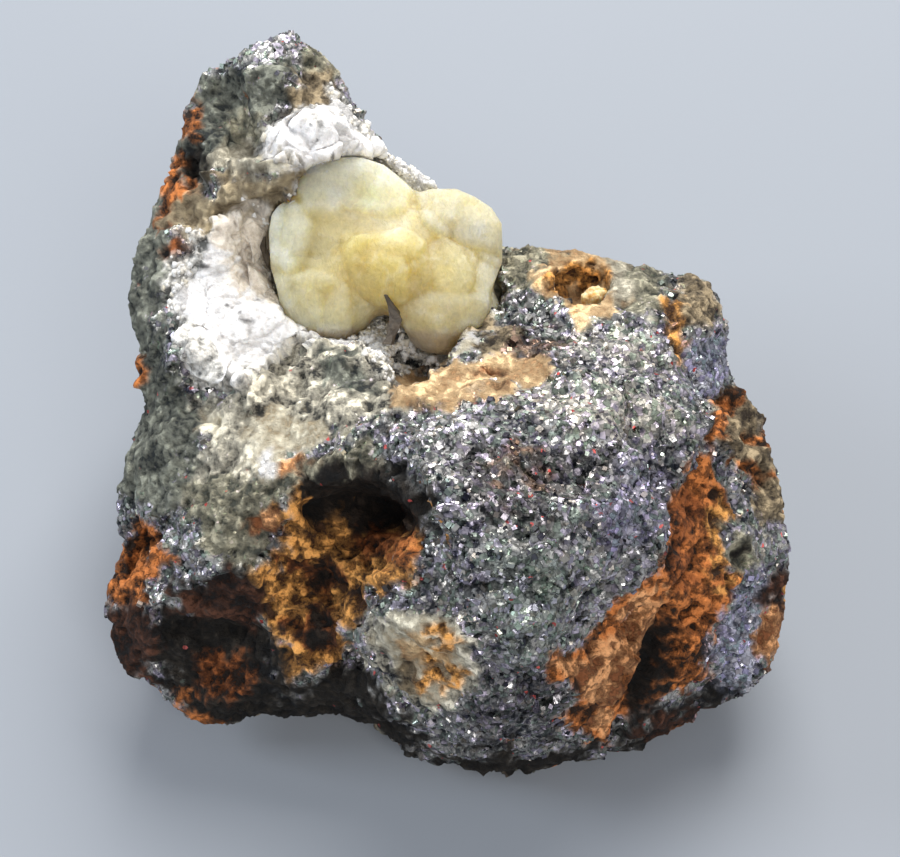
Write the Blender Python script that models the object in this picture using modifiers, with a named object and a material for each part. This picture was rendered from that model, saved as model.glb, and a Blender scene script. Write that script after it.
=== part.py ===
"""A leadhillite specimen: pale yellow intergrown crystals in a white-crusted pocket of a galena rock.

Model frame: metres, +Z up, the rock rests on its flat underside in the plane z = 0.
Places on the rock are read on a picture plane: the plane through the middle of the specimen that
faces a viewer who looks down at it. Each place is (across, up, out) in millimetres, where out is
how far the surface stands in front of that plane.
"""

import math

import bmesh
import bpy
import numpy as np
from mathutils import Vector, noise

MM = 0.001

# The picture plane and the viewer
VIEW_TILT = math.radians(50.0)
VIEW_DISTANCE = 150.0
PLANE_CENTRE = Vector((0.0, -2.0, 24.5))
RIGHT = Vector((1.0, 0.0, 0.0))
UP = Vector((0.0, math.sin(VIEW_TILT), math.cos(VIEW_TILT)))
TOWARD = Vector((0.0, -math.cos(VIEW_TILT), math.sin(VIEW_TILT)))

# A point inside the rock from which every landmark can be seen
HEART = Vector((0.0, 5.0, 17.0))
# The gap between grown-on pieces and the rock, in millimetres, and what remeshing may take from it
FIT_GAP = 0.35
REGRAIN_SLACK = 0.2
# Softening draws the rim in, so it starts this much larger. Its roughness is a share of the rest, up to
# a distance in millimetres
RIM_SWELL = 1.014
RIM_CALM = 0.15
RIM_CALM_WIDTH = 4.0
# Grain of the meshes that are carved, in millimetres
SCULPT_STEP = 1.0
CRYSTAL_STEP = 0.5
CRUST_STEP = 0.45
GAP_STEP = 0.6
# Height of the crust over the rock and the depth of its root before the gap is cut, in millimetres
CRUST_THICKNESS = 2.0
CRUST_ROOT = 1.0
# Higher values make the crystals' edges less round
EDGE_SHARPNESS = 9.0
NOISE_SEED = 7
ROCK_TRIANGLES = 5500
CRYSTAL_TRIANGLES = 1500
CRUST_TRIANGLES = {"white_crust_left": 900, "white_crust_upper": 500}
CUTTER_TRIANGLES = 6000

# The rim of the rock as the viewer sees it, clockwise from the tip of the spire
RIM = [
    (-16.2, 39.9, 0), (-12.4, 38.0, 0), (-10.8, 35.4, 0), (-10.0, 32.6, -1), (-8.0, 29.9, -1),
    (-4.6, 27.6, -1), (-1.8, 25.6, -2), (-0.2, 24.0, -3), (3.0, 18.0, -6), (6.2, 17.2, -3),
    (9.5, 18.0, -3), (13.5, 17.9, -3), (16.8, 16.5, -3), (21.0, 15.6, -2), (26.6, 14.9, -1),
    (27.2, 10.0, -1), (27.4, 5.2, -2), (29.4, 3.0, -2), (31.2, -0.4, -2), (32.6, -3.6, -1),
    (33.2, -8.7, 0), (33.8, -13.0, 0), (33.6, -17.2, 0), (32.8, -23.4, 0), (29.8, -26.7, 0),
    (26.8, -27.5, -1), (23.2, -29.9, -1), (19.5, -32.3, -1), (15.5, -31.8, 0), (10.0, -34.0, -1),
    (5.0, -34.3, -1), (-1.0, -33.6, -1), (-5.0, -31.8, 0), (-8.2, -29.2, 0), (-12.0, -28.4, -1),
    (-17.5, -28.9, -1), (-21.0, -29.2, -1), (-24.5, -29.8, -1), (-27.0, -28.7, -1), (-29.2, -25.8, 0),
    (-33.5, -24.0, 0), (-34.2, -21.2, 0), (-35.2, -17.4, 1), (-33.0, -12.0, 1), (-33.2, -7.2, 1),
    (-31.8, -2.6, 1), (-29.6, 1.8, 0), (-30.8, 4.8, 0), (-30.2, 7.6, 0), (-32.0, 11.3, 0),
    (-31.6, 16.3, 0), (-29.7, 21.3, 0), (-28.4, 24.3, -1), (-26.7, 28.8, -1), (-26.2, 32.0, -2),
    (-24.5, 35.2, -2), (-22.8, 36.9, 0), (-19.2, 38.2, 1),
]

# The surface that faces the viewer, one list for each part of the rock
FRONT = {
    "spire": [
        (-16.0, 36.8, 3), (-21.0, 32.8, 5), (-24.0, 28.8, 3.5), (-14.0, 32.8, 4.5),
        (-11.0, 31.8, 2.5), (-18.0, 28.8, 5), (-25.0, 23.8, 3.5),
    ],
    "ledge_under_spire": [
        (-23.5, 26.0, 5.5), (-19.5, 26.4, 6.8), (-15.3, 26.4, 5.5), (-20.0, 22.8, 2.0), (-16.0, 23.0, 0),
    ],
    "slope_right_of_spire": [
        (-12.5, 29.3, 2), (-7.0, 26.6, -1), (-10.0, 25.4, 0), (-3.0, 23.8, -2.5),
    ],
    "pocket_brim": [
        (-22.8, 20.6, 3), (-23.8, 17.0, 4), (-24.5, 12.8, 4.5), (-12.0, 19.8, 0), (-12.0, 13.8, 1),
        (-3.0, 19.8, -2), (-2.0, 13.8, 0), (3.0, 15.8, -2),
    ],
    "white_slope": [
        (-21.5, 11.3, 2.5), (-19.5, 6.8, 4), (-15.0, 9.8, 2.5), (-10.5, 8.3, 4), (-26.0, 8.3, 4.5),
    ],
    "left_flank": [
        (-29.0, 17.3, 3), (-29.5, 10.3, 3.5), (-27.0, 2.8, 6), (-28.6, -4.2, 6), (-25.5, -1.7, 8),
    ],
    "cross_ridge": [
        (-15.0, 6.6, 8), (-10.0, 6.6, 9), (-20.5, 2.6, 9), (-11.0, 3.3, 13), (-15.0, -0.7, 13),
        (-21.5, -1.7, 11),
    ],
    "trench_below_crystals": [(-5.0, 7.8, 2), (-1.0, 6.8, 3), (-5.5, 4.3, 8)],
    "tan_ledge": [
        (-1.0, 4.0, 11.5), (5.0, 6.0, 11), (9.0, 6.6, 11), (5.0, 14.0, 1), (3.2, 10.3, 4.5),
        (1.4, 6.8, 8),
    ],
    "upper_right_shelf": [
        (9.0, 14.6, 1), (17.0, 14.3, 3), (24.0, 12.8, 3.5), (11.0, 10.3, 6.5), (17.0, 9.8, 8),
        (22.5, 8.3, 8), (25.3, 3.3, 8.5), (15.0, 5.8, 13), (10.0, 2.8, 17), (20.0, 2.8, 14.5),
        (24.5, -0.2, 11.5),
    ],
    "right_flank": [
        (26.2, 10.3, 2), (26.8, 5.3, 3), (28.5, 1.8, 1.5), (30.7, -2.2, 1.5), (27.7, -1.7, 6.5),
        (30.2, -7.2, 5), (32.3, -10.7, 3),
    ],
    "dome": [
        (-5.0, 0.8, 17), (1.0, 0.8, 20), (7.0, -1.2, 24), (15.0, -1.2, 21.5), (21.0, -3.2, 17),
        (-8.0, -4.7, 19), (-1.0, -6.2, 25), (7.0, -8.2, 27.5), (15.0, -9.2, 25), (20.5, -11.2, 19),
        (0.5, -13.2, 27), (8.0, -16.2, 27), (15.0, -17.2, 22.5), (-4.5, -16.2, 22.5),
        (-6.5, -21.2, 19), (-1.0, -22.2, 24), (7.0, -23.2, 24), (13.0, -25.2, 18),
        (-5.0, -26.7, 14), (1.0, -28.7, 15), (8.0, -30.0, 12), (14.0, -30.7, 7),
    ],
    "rusty_wedge": [
        (16.5, -21.2, 16), (15.0, -27.2, 12), (19.0, -26.2, 7), (23.0, -17.2, 10), (24.0, -7.2, 11.5),
        (25.5, -1.7, 10.5), (20.5, -21.7, 8.5), (25.0, -23.2, 6), (27.2, -13.2, 8.5),
        (28.5, -8.2, 7.5),
    ],
    "lower_right": [(29.2, -17.2, 6), (31.6, -19.2, 3), (29.5, -23.2, 3), (25.0, -27.4, 1)],
    "lower_left": [
        (-27.0, -7.2, 7.5), (-21.8, -9.2, 12), (-26.0, -13.2, 8.5), (-21.8, -16.4, 9),
        (-16.0, -4.4, 14), (-11.0, -5.4, 16),
    ],
    "ochre_hollow": [
        (-11.0, -12.7, 8), (-15.0, -17.2, 9), (-11.0, -19.7, 9), (-7.5, -11.2, 11), (-3.5, -10.7, 23),
    ],
    "rusty_corner": [(-30.0, -13.2, 2.5), (-27.8, -11.2, 6.5), (-31.8, -16.2, 3)],
    "dark_foot": [
        (-28.0, -21.2, 4.5), (-22.8, -22.2, 5), (-22.8, -26.7, 3), (-16.5, -22.7, 8),
        (-12.5, -25.7, 6), (-9.0, -26.2, 8),
    ],
}

# The back and the underside, which the viewer doesn't see: (x, y, z) in the model frame
BACK = [
    (-20, 31, 41), (-12, 30, 37), (-25, 26, 36), (-30, 20, 26), (-22, 34, 28), (-9, 34, 25),
    (-2, 27, 27), (4, 25, 20), (13, 21, 24), (20, 18, 23), (25, 11, 21), (29, 3, 17), (31, -2, 11),
    (-31, 12, 16), (-28, 26, 14), (-14, 35, 12), (2, 32, 10), (16, 27, 12), (26, 18, 12),
    (31, 6, 6), (-16, 35, 20), (8, 28, 14), (19, 22, 16),
]
SKIRT = [
    (-28, 1, 5), (-29, 14, 4), (-22, 27, 3), (-6, 31, 2), (10, 28, 3), (22, 20, 3), (28, 7, 2),
    (29, -8, 4), (22, -18, 4), (8, -24, 1), (-6, -22, 2), (-18, -21, 4), (-27, -13, 6),
]
UNDERSIDE = [
    (-18, -9, -1.2), (-20, 8, -1.0), (-8, 20, -1.2), (10, 18, -1.4), (20, 4, -1.2), (16, -12, -1.4),
    (0, -16, -1.5), (0, 0, -2.0), (-10, 1, -1.4), (10, 1, -1.4),
]

# Hollows sunk away from the viewer: (across, up), half width, half height, depth
HOLLOWS = [
    ((-6.5, 17.6), (12.4, 9.2), 7.0),
    ((-2.0, 7.2), (4.6, 2.2), 4.0),
    ((-20.5, 17.2), (2.7, 4.6), 5.0),
    ((-25.8, 25.9), (1.4, 1.7), 2.4),
    ((-26.6, 21.5), (1.2, 2.2), 1.6),
    ((27.6, 2.2), (1.7, 1.3), 2.4),
    ((30.6, -5.4), (1.6, 2.0), 2.0),
    ((-30.4, -12.8), (1.8, 3.4), 2.2),
    ((-22.6, -23.6), (2.9, 2.4), 1.6),
    ((-15.6, -14.6), (2.2, 1.8), 2.2),
    ((-8.8, -9.4), (5.6, 4.2), 3.0),
    ((-12.2, -17.6), (2.4, 1.8), 2.2),
    ((-6.8, -9.4), (2.6, 2.2), 2.6),
    ((-10.2, -23.4), (3.2, 2.0), 2.4),
    ((28.4, -12.6), (1.5, 1.9), 1.4),
    ((19.4, -22.8), (1.4, 4.2), 1.6),
]

# Pits with steep walls: centre on the picture plane, half sizes across, up and out, turn in the plane
PITS = {
    "nodule_pit": ((13.4, 14.4, 1.6), (3.4, 2.9, 5.2), 0),
    "slit_pit": ((-18.4, 17.4, 1.0), (0.9, 2.2, 3.0), 4),
    "flank_hole": ((27.6, 2.3, 3.2), (1.5, 1.1, 2.6), 20),
}

# Crystal lobes: centre on the picture plane, half sizes across, up and out, turn in the plane
LOBES = {
    "top": ((-9.5, 23.6, -2.6), (6.4, 3.7, 4.8), -6),
    "left": ((-12.4, 16.8, -1.0), (5.9, 7.2, 5.8), 10),
    "right": ((0.6, 18.6, -2.6), (5.2, 5.9, 5.6), -8),
    "middle": ((-4.9, 15.6, 0.2), (4.0, 4.9, 5.4), 0),
    "lower_right": ((-0.2, 13.6, -0.4), (5.6, 4.7, 5.2), 10),
    "lower_left": ((-12.2, 12.0, -0.6), (4.6, 3.1, 4.6), -10),
    "foot": ((-0.8, 9.6, -0.6), (3.4, 2.4, 3.8), 8),
    "bridge": ((-5.6, 19.6, -2.2), (5.8, 4.6, 5.2), 6),
}
NODULE = ((14.6, 12.9, -0.6), (1.5, 1.35, 1.3), 0)

# The white crust on the picture plane: (across, up), half sizes
CRUST_PATCHES = {
    "white_crust_left": [
        ((-22.0, 17.0), (4.6, 6.8)),
        ((-22.8, 9.6), (5.4, 6.2)),
        ((-17.0, 9.2), (6.8, 4.2)),
        ((-20.4, 5.0), (4.4, 4.0)),
        ((-10.0, 8.2), (4.2, 2.8)),
    ],
    "white_crust_upper": [
        ((-14.0, 28.6), (5.4, 4.2)),
        ((-9.4, 26.6), (5.0, 3.4)),
        ((-5.4, 24.2), (3.6, 2.4)),
        ((-15.6, 25.4), (3.0, 3.2)),
    ],
}


def place(across, up, out):
    """The model-frame point, in millimetres, of a place on the picture plane."""
    shrink = (VIEW_DISTANCE - out) / VIEW_DISTANCE
    return PLANE_CENTRE + RIGHT * (across * shrink) + UP * (up * shrink) + TOWARD * out


def read(point):
    """(across, up, out) of a model-frame point in millimetres: place() the other way round."""
    offset = point - PLANE_CENTRE
    out = offset.dot(TOWARD)
    stretch = VIEW_DISTANCE / (VIEW_DISTANCE - out)
    return offset.dot(RIGHT) * stretch, offset.dot(UP) * stretch, out


def smoothstep(low, high, value):
    """0 up to low, 1 from high on, and a smooth rise between."""
    t = min(max((value - low) / (high - low), 0.0), 1.0)
    return t * t * (3.0 - 2.0 * t)


def clear_scene():
    for obj in list(bpy.data.objects):
        bpy.data.objects.remove(obj, do_unlink=True)
    for name in ("leadhillite_specimen", "cutters"):
        collection = bpy.data.collections.new(name)
        bpy.context.scene.collection.children.link(collection)


def material(name, colour, roughness, metallic=0.0, transmission=0.0, ior=1.5):
    made = bpy.data.materials.new(name)
    made.use_nodes = True
    shader = made.node_tree.nodes["Principled BSDF"]
    shader.inputs["Base Color"].default_value = (*colour, 1.0)
    shader.inputs["Roughness"].default_value = roughness
    shader.inputs["Metallic"].default_value = metallic
    shader.inputs["Transmission Weight"].default_value = transmission
    shader.inputs["IOR"].default_value = ior
    made.diffuse_color = (*colour, 1.0)
    return made


def dress(obj, made):
    obj.data.materials.clear()
    obj.data.materials.append(made)


def new_object(name, mesh, collection="leadhillite_specimen"):
    obj = bpy.data.objects.new(name, mesh)
    bpy.data.collections[collection].objects.link(obj)
    return obj


def helper(name, mesh):
    """A cutter or guide: an object that isn't part of the specimen."""
    obj = new_object(name, mesh, "cutters")
    obj.hide_render = True
    obj.display_type = "WIRE"
    return obj


def evaluated_mesh(obj):
    """The object's mesh with its modifiers applied, as a new mesh."""
    bpy.context.view_layer.update()
    graph = bpy.context.evaluated_depsgraph_get()
    return bpy.data.meshes.new_from_object(obj.evaluated_get(graph))


def consume(obj):
    """The evaluated mesh of a helper that is no longer needed."""
    mesh = evaluated_mesh(obj)
    bpy.data.objects.remove(obj, do_unlink=True)
    return mesh


def decimated(mesh, triangles):
    obj = helper("to_decimate", mesh)
    modifier = obj.modifiers.new("Fewer faces", "DECIMATE")
    mesh.calc_loop_triangles()
    modifier.ratio = min(1.0, triangles / len(mesh.loop_triangles))
    modifier.use_collapse_triangulate = True
    return consume(obj)


def rock_cage():
    """A closed low cage through every landmark: the landmarks are joined as seen from the heart."""
    rim = [(across * RIM_SWELL, up * RIM_SWELL, out) for across, up, out in RIM]
    places = rim + [p for group in FRONT.values() for p in group]
    points = [place(*p) for p in places] + [Vector(p) for p in BACK + SKIRT + UNDERSIDE]
    cage = bmesh.new()
    verts = [cage.verts.new((p - HEART).normalized()) for p in points]
    bmesh.ops.convex_hull(cage, input=verts)
    for vert, point in zip(verts, points):
        vert.co = point * MM
    bmesh.ops.delete(cage, geom=[v for v in cage.verts if not v.link_faces], context="VERTS")
    bmesh.ops.recalc_face_normals(cage, faces=cage.faces)
    mesh = bpy.data.meshes.new("rock_cage")
    cage.to_mesh(mesh)
    cage.free()
    return mesh


def ordered(mesh):
    """The same mesh with its points and faces in order of place, so that each build is the same."""
    count = len(mesh.vertices)
    places = np.empty(count * 3)
    mesh.vertices.foreach_get("co", places)
    places = places.reshape(-1, 3)
    order = np.lexsort(np.round(places / MM, 4).T)
    rank = np.empty(count, int)
    rank[order] = np.arange(count)
    faces = []
    for face in mesh.polygons:
        corners = [int(rank[v]) for v in face.vertices]
        first = corners.index(min(corners))
        faces.append(corners[first:] + corners[:first])
    made = bpy.data.meshes.new(mesh.name)
    made.from_pydata(places[order].tolist(), [], sorted(faces))
    return made


def regrained(mesh, step, soften=0):
    """The mesh with an even grain, which also clears folds and self-crossings, softened if asked."""
    obj = helper("to_remesh", mesh)
    remesh = obj.modifiers.new("Even grain", "REMESH")
    remesh.mode = "VOXEL"
    remesh.voxel_size = step * MM
    even = ordered(consume(obj))
    if not soften:
        return even
    obj = helper("to_soften", even)
    smooth = obj.modifiers.new("Soften", "SMOOTH")
    smooth.factor = 0.5
    smooth.iterations = soften
    return consume(obj)


def hollow_depth(across, up):
    """How far the hollows sink the surface at a place on the picture plane."""
    depth = 0.0
    for (at_across, at_up), (half_across, half_up), full in HOLLOWS:
        distance = math.hypot((across - at_across) / half_across, (up - at_up) / half_up)
        depth += full * (1.0 - smoothstep(0.55, 1.15, distance))
    return depth


def rim_distance(across, up):
    """How far a place on the picture plane is from the rim."""
    nearest = math.inf
    for (start_across, start_up, _), (end_across, end_up, _) in zip(RIM, RIM[1:] + RIM[:1]):
        along_across, along_up = end_across - start_across, end_up - start_up
        t = (across - start_across) * along_across + (up - start_up) * along_up
        t = min(max(t / (along_across**2 + along_up**2), 0.0), 1.0)
        gap = math.hypot(across - start_across - t * along_across, up - start_up - t * along_up)
        nearest = min(nearest, gap)
    return nearest


def fracture(point, size):
    """The height of a broken surface: each chip of the given size is a flat with its own tilt."""
    _, centres = noise.voronoi(point / size, distance_metric="DISTANCE")
    chip = centres[0]
    cell = Vector([round(value * 20.0) + 0.5 for value in chip])
    tilt = noise.cell_vector(cell) - Vector((0.5, 0.5, 0.5))
    return (point / size - chip).dot(tilt) * size


def roughness_of(point):
    """The rock's lumps and chips at a point in millimetres, as a height."""
    bend = noise.noise_vector(point / 6.0) * 1.6
    lumps = noise.fractal(point / 10.0, 1.0, 2.0, 3)
    return 1.0 * lumps + 0.7 * fracture(point + bend, 8.0) + 0.6 * fracture(point + bend, 3.6)


def carve(mesh):
    """Sinks the hollows away from the viewer and roughens the whole surface along its normals."""
    moved = []
    for vert in mesh.vertices:
        point = vert.co / MM
        across, up, _ = read(point)
        facing = smoothstep(-0.05, 0.35, vert.normal.dot(TOWARD))
        off_rim = smoothstep(0.0, RIM_CALM_WIDTH, rim_distance(across, up))
        point = point + vert.normal * (roughness_of(point) * (RIM_CALM + (1.0 - RIM_CALM) * off_rim))
        moved.append(point - TOWARD * (facing * hollow_depth(across, up)))
    for vert, point in zip(mesh.vertices, moved):
        vert.co = point * MM
    mesh.update()


def cut_flat(mesh):
    """Cuts the mesh off at z = 0 and closes it there, so that the rock rests on a flat."""
    work = bmesh.new()
    work.from_mesh(mesh)
    everything = work.verts[:] + work.edges[:] + work.faces[:]
    bmesh.ops.bisect_plane(
        work, geom=everything, dist=1e-6, plane_co=(0, 0, 0), plane_no=(0, 0, 1), clear_inner=True
    )
    open_edges = [e for e in work.edges if e.is_boundary]
    bmesh.ops.holes_fill(work, edges=open_edges, sides=0)
    bmesh.ops.triangulate(work, faces=[f for f in work.faces if len(f.verts) > 3])
    bmesh.ops.recalc_face_normals(work, faces=work.faces)
    work.to_mesh(mesh)
    work.free()
    return mesh


def lobe_mesh(centre, half_sizes, turn, grow, detail=4, seed=0):
    """One crystal lobe: a six-sided tablet with soft edges, grown outward by grow."""
    rng = np.random.default_rng(seed)
    flats = [(Vector((0.0, 0.0, 1.0)), 0.9)]
    for side in range(6):
        angle = math.radians(60.0 * side + 14.0 * rng.random())
        flats.append((Vector((math.cos(angle), math.sin(angle), 0.0)), 0.88 + 0.08 * rng.random()))
        angle += math.radians(30.0)
        slant = Vector((math.cos(angle), math.sin(angle), 0.8)).normalized()
        flats.append((slant, 0.9 + 0.08 * rng.random()))
    turn = math.radians(turn)
    axis_across = RIGHT * math.cos(turn) + UP * math.sin(turn)
    axis_up = UP * math.cos(turn) - RIGHT * math.sin(turn)
    middle = place(*centre)
    lobe = bmesh.new()
    bmesh.ops.create_icosphere(lobe, subdivisions=detail, radius=1.0)
    for vert in lobe.verts:
        toward_point = vert.co.copy()
        pull = 1.0 + sum(max(toward_point.dot(n) / d, 0.0) ** EDGE_SHARPNESS for n, d in flats)
        reach = 1.08 / pull ** (1.0 / EDGE_SHARPNESS)
        p = toward_point * reach
        vert.co = (
            middle
            + axis_across * (p.x * (half_sizes[0] + grow))
            + axis_up * (p.y * (half_sizes[1] + grow))
            + TOWARD * (p.z * (half_sizes[2] + grow))
        ) * MM
    mesh = bpy.data.meshes.new("lobe")
    lobe.to_mesh(mesh)
    lobe.free()
    return mesh


def crystal_cluster(grow, triangles):
    """All the lobes grown together into one closed solid."""
    lobes = [helper(f"lobe_{i}", lobe_mesh(*LOBES[key], grow, seed=i)) for i, key in enumerate(LOBES)]
    base = lobes[0]
    for other in lobes[1:]:
        union = base.modifiers.new("Grown together", "BOOLEAN")
        union.operation = "UNION"
        union.solver = "EXACT"
        union.object = other
    mesh = evaluated_mesh(base)
    for lobe in lobes:
        bpy.data.objects.remove(lobe, do_unlink=True)
    return decimated(regrained(mesh, CRYSTAL_STEP, soften=2), triangles)


def crust_cover(patches, across, up):
    """Over 0 inside the crust's outline, 1 or more well inside it."""
    best = -1.0
    for (at_across, at_up), (half_across, half_up) in patches:
        distance = math.hypot((across - at_across) / half_across, (up - at_up) / half_up)
        best = max(best, (1.0 - distance) * min(half_across, half_up))
    wander = noise.noise(Vector((across, up, 0.0)) / 2.6)
    return best + 0.9 * wander


def crust_blank(rock, patches):
    """A blanket over the crusted patches of the rock: from inside the rock to the crust's surface."""
    work = bmesh.new()
    work.from_mesh(rock)
    cover = {}
    for vert in work.verts:
        across, up, _ = read(vert.co / MM)
        facing = smoothstep(0.05, 0.3, vert.normal.dot(TOWARD))
        cover[vert] = crust_cover(patches, across, up) - 3.0 * (1.0 - facing)
    bare = [f for f in work.faces if min(cover[v] for v in f.verts) <= 0.0]
    bmesh.ops.delete(work, geom=bare, context="FACES")
    work.verts.ensure_lookup_table()
    outer = {}
    for vert in work.verts:
        bump = 0.35 * noise.noise(vert.co / MM / 1.7)
        rise = CRUST_THICKNESS * smoothstep(0.0, 1.6, cover[vert]) + bump
        outer[vert] = vert.co + vert.normal * (rise * MM)
    inner = {vert: vert.co - vert.normal * (CRUST_ROOT * MM) for vert in work.verts}
    solid = bmesh.new()
    top = {vert: solid.verts.new(co) for vert, co in outer.items()}
    bottom = {vert: solid.verts.new(co) for vert, co in inner.items()}
    for face in work.faces:
        solid.faces.new([top[v] for v in face.verts])
        solid.faces.new([bottom[v] for v in reversed(face.verts)])
    for edge in work.edges:
        if edge.is_boundary:
            loop = edge.link_loops[0]
            a, b = loop.vert, loop.link_loop_next.vert
            solid.faces.new([top[b], top[a], bottom[a], bottom[b]])
    bmesh.ops.recalc_face_normals(solid, faces=solid.faces)
    mesh = bpy.data.meshes.new("crust_blank")
    solid.to_mesh(mesh)
    solid.free()
    work.free()
    return mesh


def swollen(mesh, by):
    """A copy of a mesh moved outward along its normals and made clean, as a cutter that leaves a gap."""
    grown = mesh.copy()
    normals = [vert.normal.copy() for vert in grown.vertices]
    for vert, normal in zip(grown.vertices, normals):
        vert.co += normal * (by * MM)
    return regrained(grown, GAP_STEP)


def subtract(obj, cutter):
    cut = obj.modifiers.new(f"Clear of {cutter.name}", "BOOLEAN")
    cut.operation = "DIFFERENCE"
    cut.solver = "EXACT"
    cut.object = cutter


def biggest_body(mesh):
    """Only the largest connected body of a mesh."""
    work = bmesh.new()
    work.from_mesh(mesh)
    unseen = set(work.verts)
    bodies = []
    while unseen:
        start = unseen.pop()
        body, front = {start}, [start]
        while front:
            for edge in front.pop().link_edges:
                for vert in edge.verts:
                    if vert in unseen:
                        unseen.remove(vert)
                        body.add(vert)
                        front.append(vert)
        bodies.append(body)
    keep = max(bodies, key=len)
    bmesh.ops.delete(work, geom=[v for v in work.verts if v not in keep], context="VERTS")
    work.to_mesh(mesh)
    work.free()
    return mesh


def main():
    clear_scene()
    noise.seed_set(NOISE_SEED)
    galena = material("galena_rock", (0.13, 0.13, 0.14), 0.45, metallic=0.35)
    white = material("white_crust", (0.86, 0.85, 0.84), 0.8)
    yellow = material("leadhillite", (0.80, 0.72, 0.45), 0.25, transmission=0.5, ior=1.9)
    amber = material("amber_nodule", (0.70, 0.50, 0.20), 0.35)

    cluster = new_object("leadhillite_crystals", crystal_cluster(0.0, CRYSTAL_TRIANGLES))
    dress(cluster, yellow)
    cluster_socket = helper("cluster_socket", crystal_cluster(FIT_GAP, CRYSTAL_TRIANGLES))
    nodule = new_object("amber_nodule", lobe_mesh(*NODULE, 0.0, detail=2, seed=40))
    dress(nodule, amber)
    nodule_socket = helper("nodule_socket", lobe_mesh(*NODULE, FIT_GAP, detail=2, seed=40))

    sculpted = regrained(rock_cage(), SCULPT_STEP, soften=3)
    carve(sculpted)
    sculpted = biggest_body(regrained(sculpted, SCULPT_STEP))

    rock_gap = helper("rock_gap", swollen(sculpted, FIT_GAP + REGRAIN_SLACK))
    crystal_gap = helper("crystal_gap", crystal_cluster(FIT_GAP + REGRAIN_SLACK, CUTTER_TRIANGLES))
    for name, patches in CRUST_PATCHES.items():
        body = crust_blank(sculpted, patches)
        for gap in (rock_gap, crystal_gap):
            blank = helper("blank", regrained(body, CRUST_STEP))
            subtract(blank, gap)
            body = consume(blank)
        body = biggest_body(regrained(body, CRUST_STEP))
        dress(new_object(name, decimated(body, CRUST_TRIANGLES[name])), white)

    rock = helper("rock_blank", cut_flat(decimated(sculpted, ROCK_TRIANGLES)))
    subtract(rock, cluster_socket)
    for name, pit in PITS.items():
        subtract(rock, helper(name, lobe_mesh(*pit, 0.0, detail=2, seed=60)))
    subtract(rock, nodule_socket)
    dress(new_object("galena_matrix", biggest_body(consume(rock))), galena)


main()
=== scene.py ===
"""The looks of the leadhillite specimen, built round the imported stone, crystals, crusts and nodule.

Every place is in millimetres until it goes into a mesh. Places that are read on the photograph are on the
picture plane, as (across, up). It goes through the middle of the specimen and faces the camera. A surface
that stands in front of that plane is out by so many millimetres. Outlines and lines of such places are
written as text, "across,up across,up".
"""

import math

import bmesh
import bpy
import numpy as np
from mathutils import Matrix, Vector
from mathutils.bvhtree import BVHTree

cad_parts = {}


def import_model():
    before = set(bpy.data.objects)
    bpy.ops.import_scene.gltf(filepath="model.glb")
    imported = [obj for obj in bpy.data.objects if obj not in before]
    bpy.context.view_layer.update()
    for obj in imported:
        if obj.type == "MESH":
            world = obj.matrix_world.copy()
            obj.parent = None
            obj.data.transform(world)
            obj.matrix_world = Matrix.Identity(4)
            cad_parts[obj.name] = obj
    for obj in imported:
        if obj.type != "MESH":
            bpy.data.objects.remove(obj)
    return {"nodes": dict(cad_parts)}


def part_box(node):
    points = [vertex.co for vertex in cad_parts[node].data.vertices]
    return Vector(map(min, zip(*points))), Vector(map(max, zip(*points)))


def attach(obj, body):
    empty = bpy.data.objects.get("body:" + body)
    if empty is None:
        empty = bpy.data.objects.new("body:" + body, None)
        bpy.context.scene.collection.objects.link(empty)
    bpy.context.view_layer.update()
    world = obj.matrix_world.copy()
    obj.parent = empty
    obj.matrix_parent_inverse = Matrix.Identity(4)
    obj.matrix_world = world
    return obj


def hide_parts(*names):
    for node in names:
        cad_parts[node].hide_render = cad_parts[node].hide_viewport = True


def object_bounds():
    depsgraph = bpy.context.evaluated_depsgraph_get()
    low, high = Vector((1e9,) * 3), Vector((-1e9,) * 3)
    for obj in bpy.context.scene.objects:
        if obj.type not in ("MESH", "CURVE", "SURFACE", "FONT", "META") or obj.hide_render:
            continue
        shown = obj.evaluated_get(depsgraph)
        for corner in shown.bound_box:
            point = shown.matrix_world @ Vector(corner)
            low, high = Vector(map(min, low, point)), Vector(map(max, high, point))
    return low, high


MM = 0.001

# The camera and its picture plane
VIEW_TILT = math.radians(50.0)
VIEW_DISTANCE = 150.0
PLANE_CENTRE = np.array((0.0, -2.0, 24.5))
RIGHT = np.array((1.0, 0.0, 0.0))
UP = np.array((0.0, math.sin(VIEW_TILT), math.cos(VIEW_TILT)))
TOWARD = np.array((0.0, -math.cos(VIEW_TILT), math.sin(VIEW_TILT)))
EYE = PLANE_CENTRE + TOWARD * VIEW_DISTANCE
SENSOR_WIDTH = 36.0
PICTURE_WIDTH = 90.0

# How far apart the points of the visible meshes are
ROCK_STEP = 0.36
CRYSTAL_STEP = 0.3
NODULE_STEP = 0.16

# How low and how high the chips, pits and knobs go from the stone's surface
DEEPEST = -1.5
HIGHEST = 0.7

# How many places for single grains are drawn, and the casts of the galena ones
GALENA_GRAINS = 9000
SUGAR_GRAINS = 3000
GRAIN_CASTS = ((1.0, 1.0, 1.02), (0.95, 0.9, 1.14), (0.86, 1.02, 0.93), (1.04, 0.97, 0.9))

# The size of the grains and of the crystals' growth faces that the materials show
GRAIN_SIZE = 0.62
SMALL_GRAIN_SIZE = 0.3
GROWTH_SIZE = 3.4

# How high the broken flats on each crust stand, and a line along which the left one lies lower
CRUST_RELIEF = {"white_crust_left": 0.4, "white_crust_upper": 0.8}
CRUST_RECESS = "-20.4,19.4 -19.6,14.4"

# Half the floor's width
FLOOR_HALF = 1200.0

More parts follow.
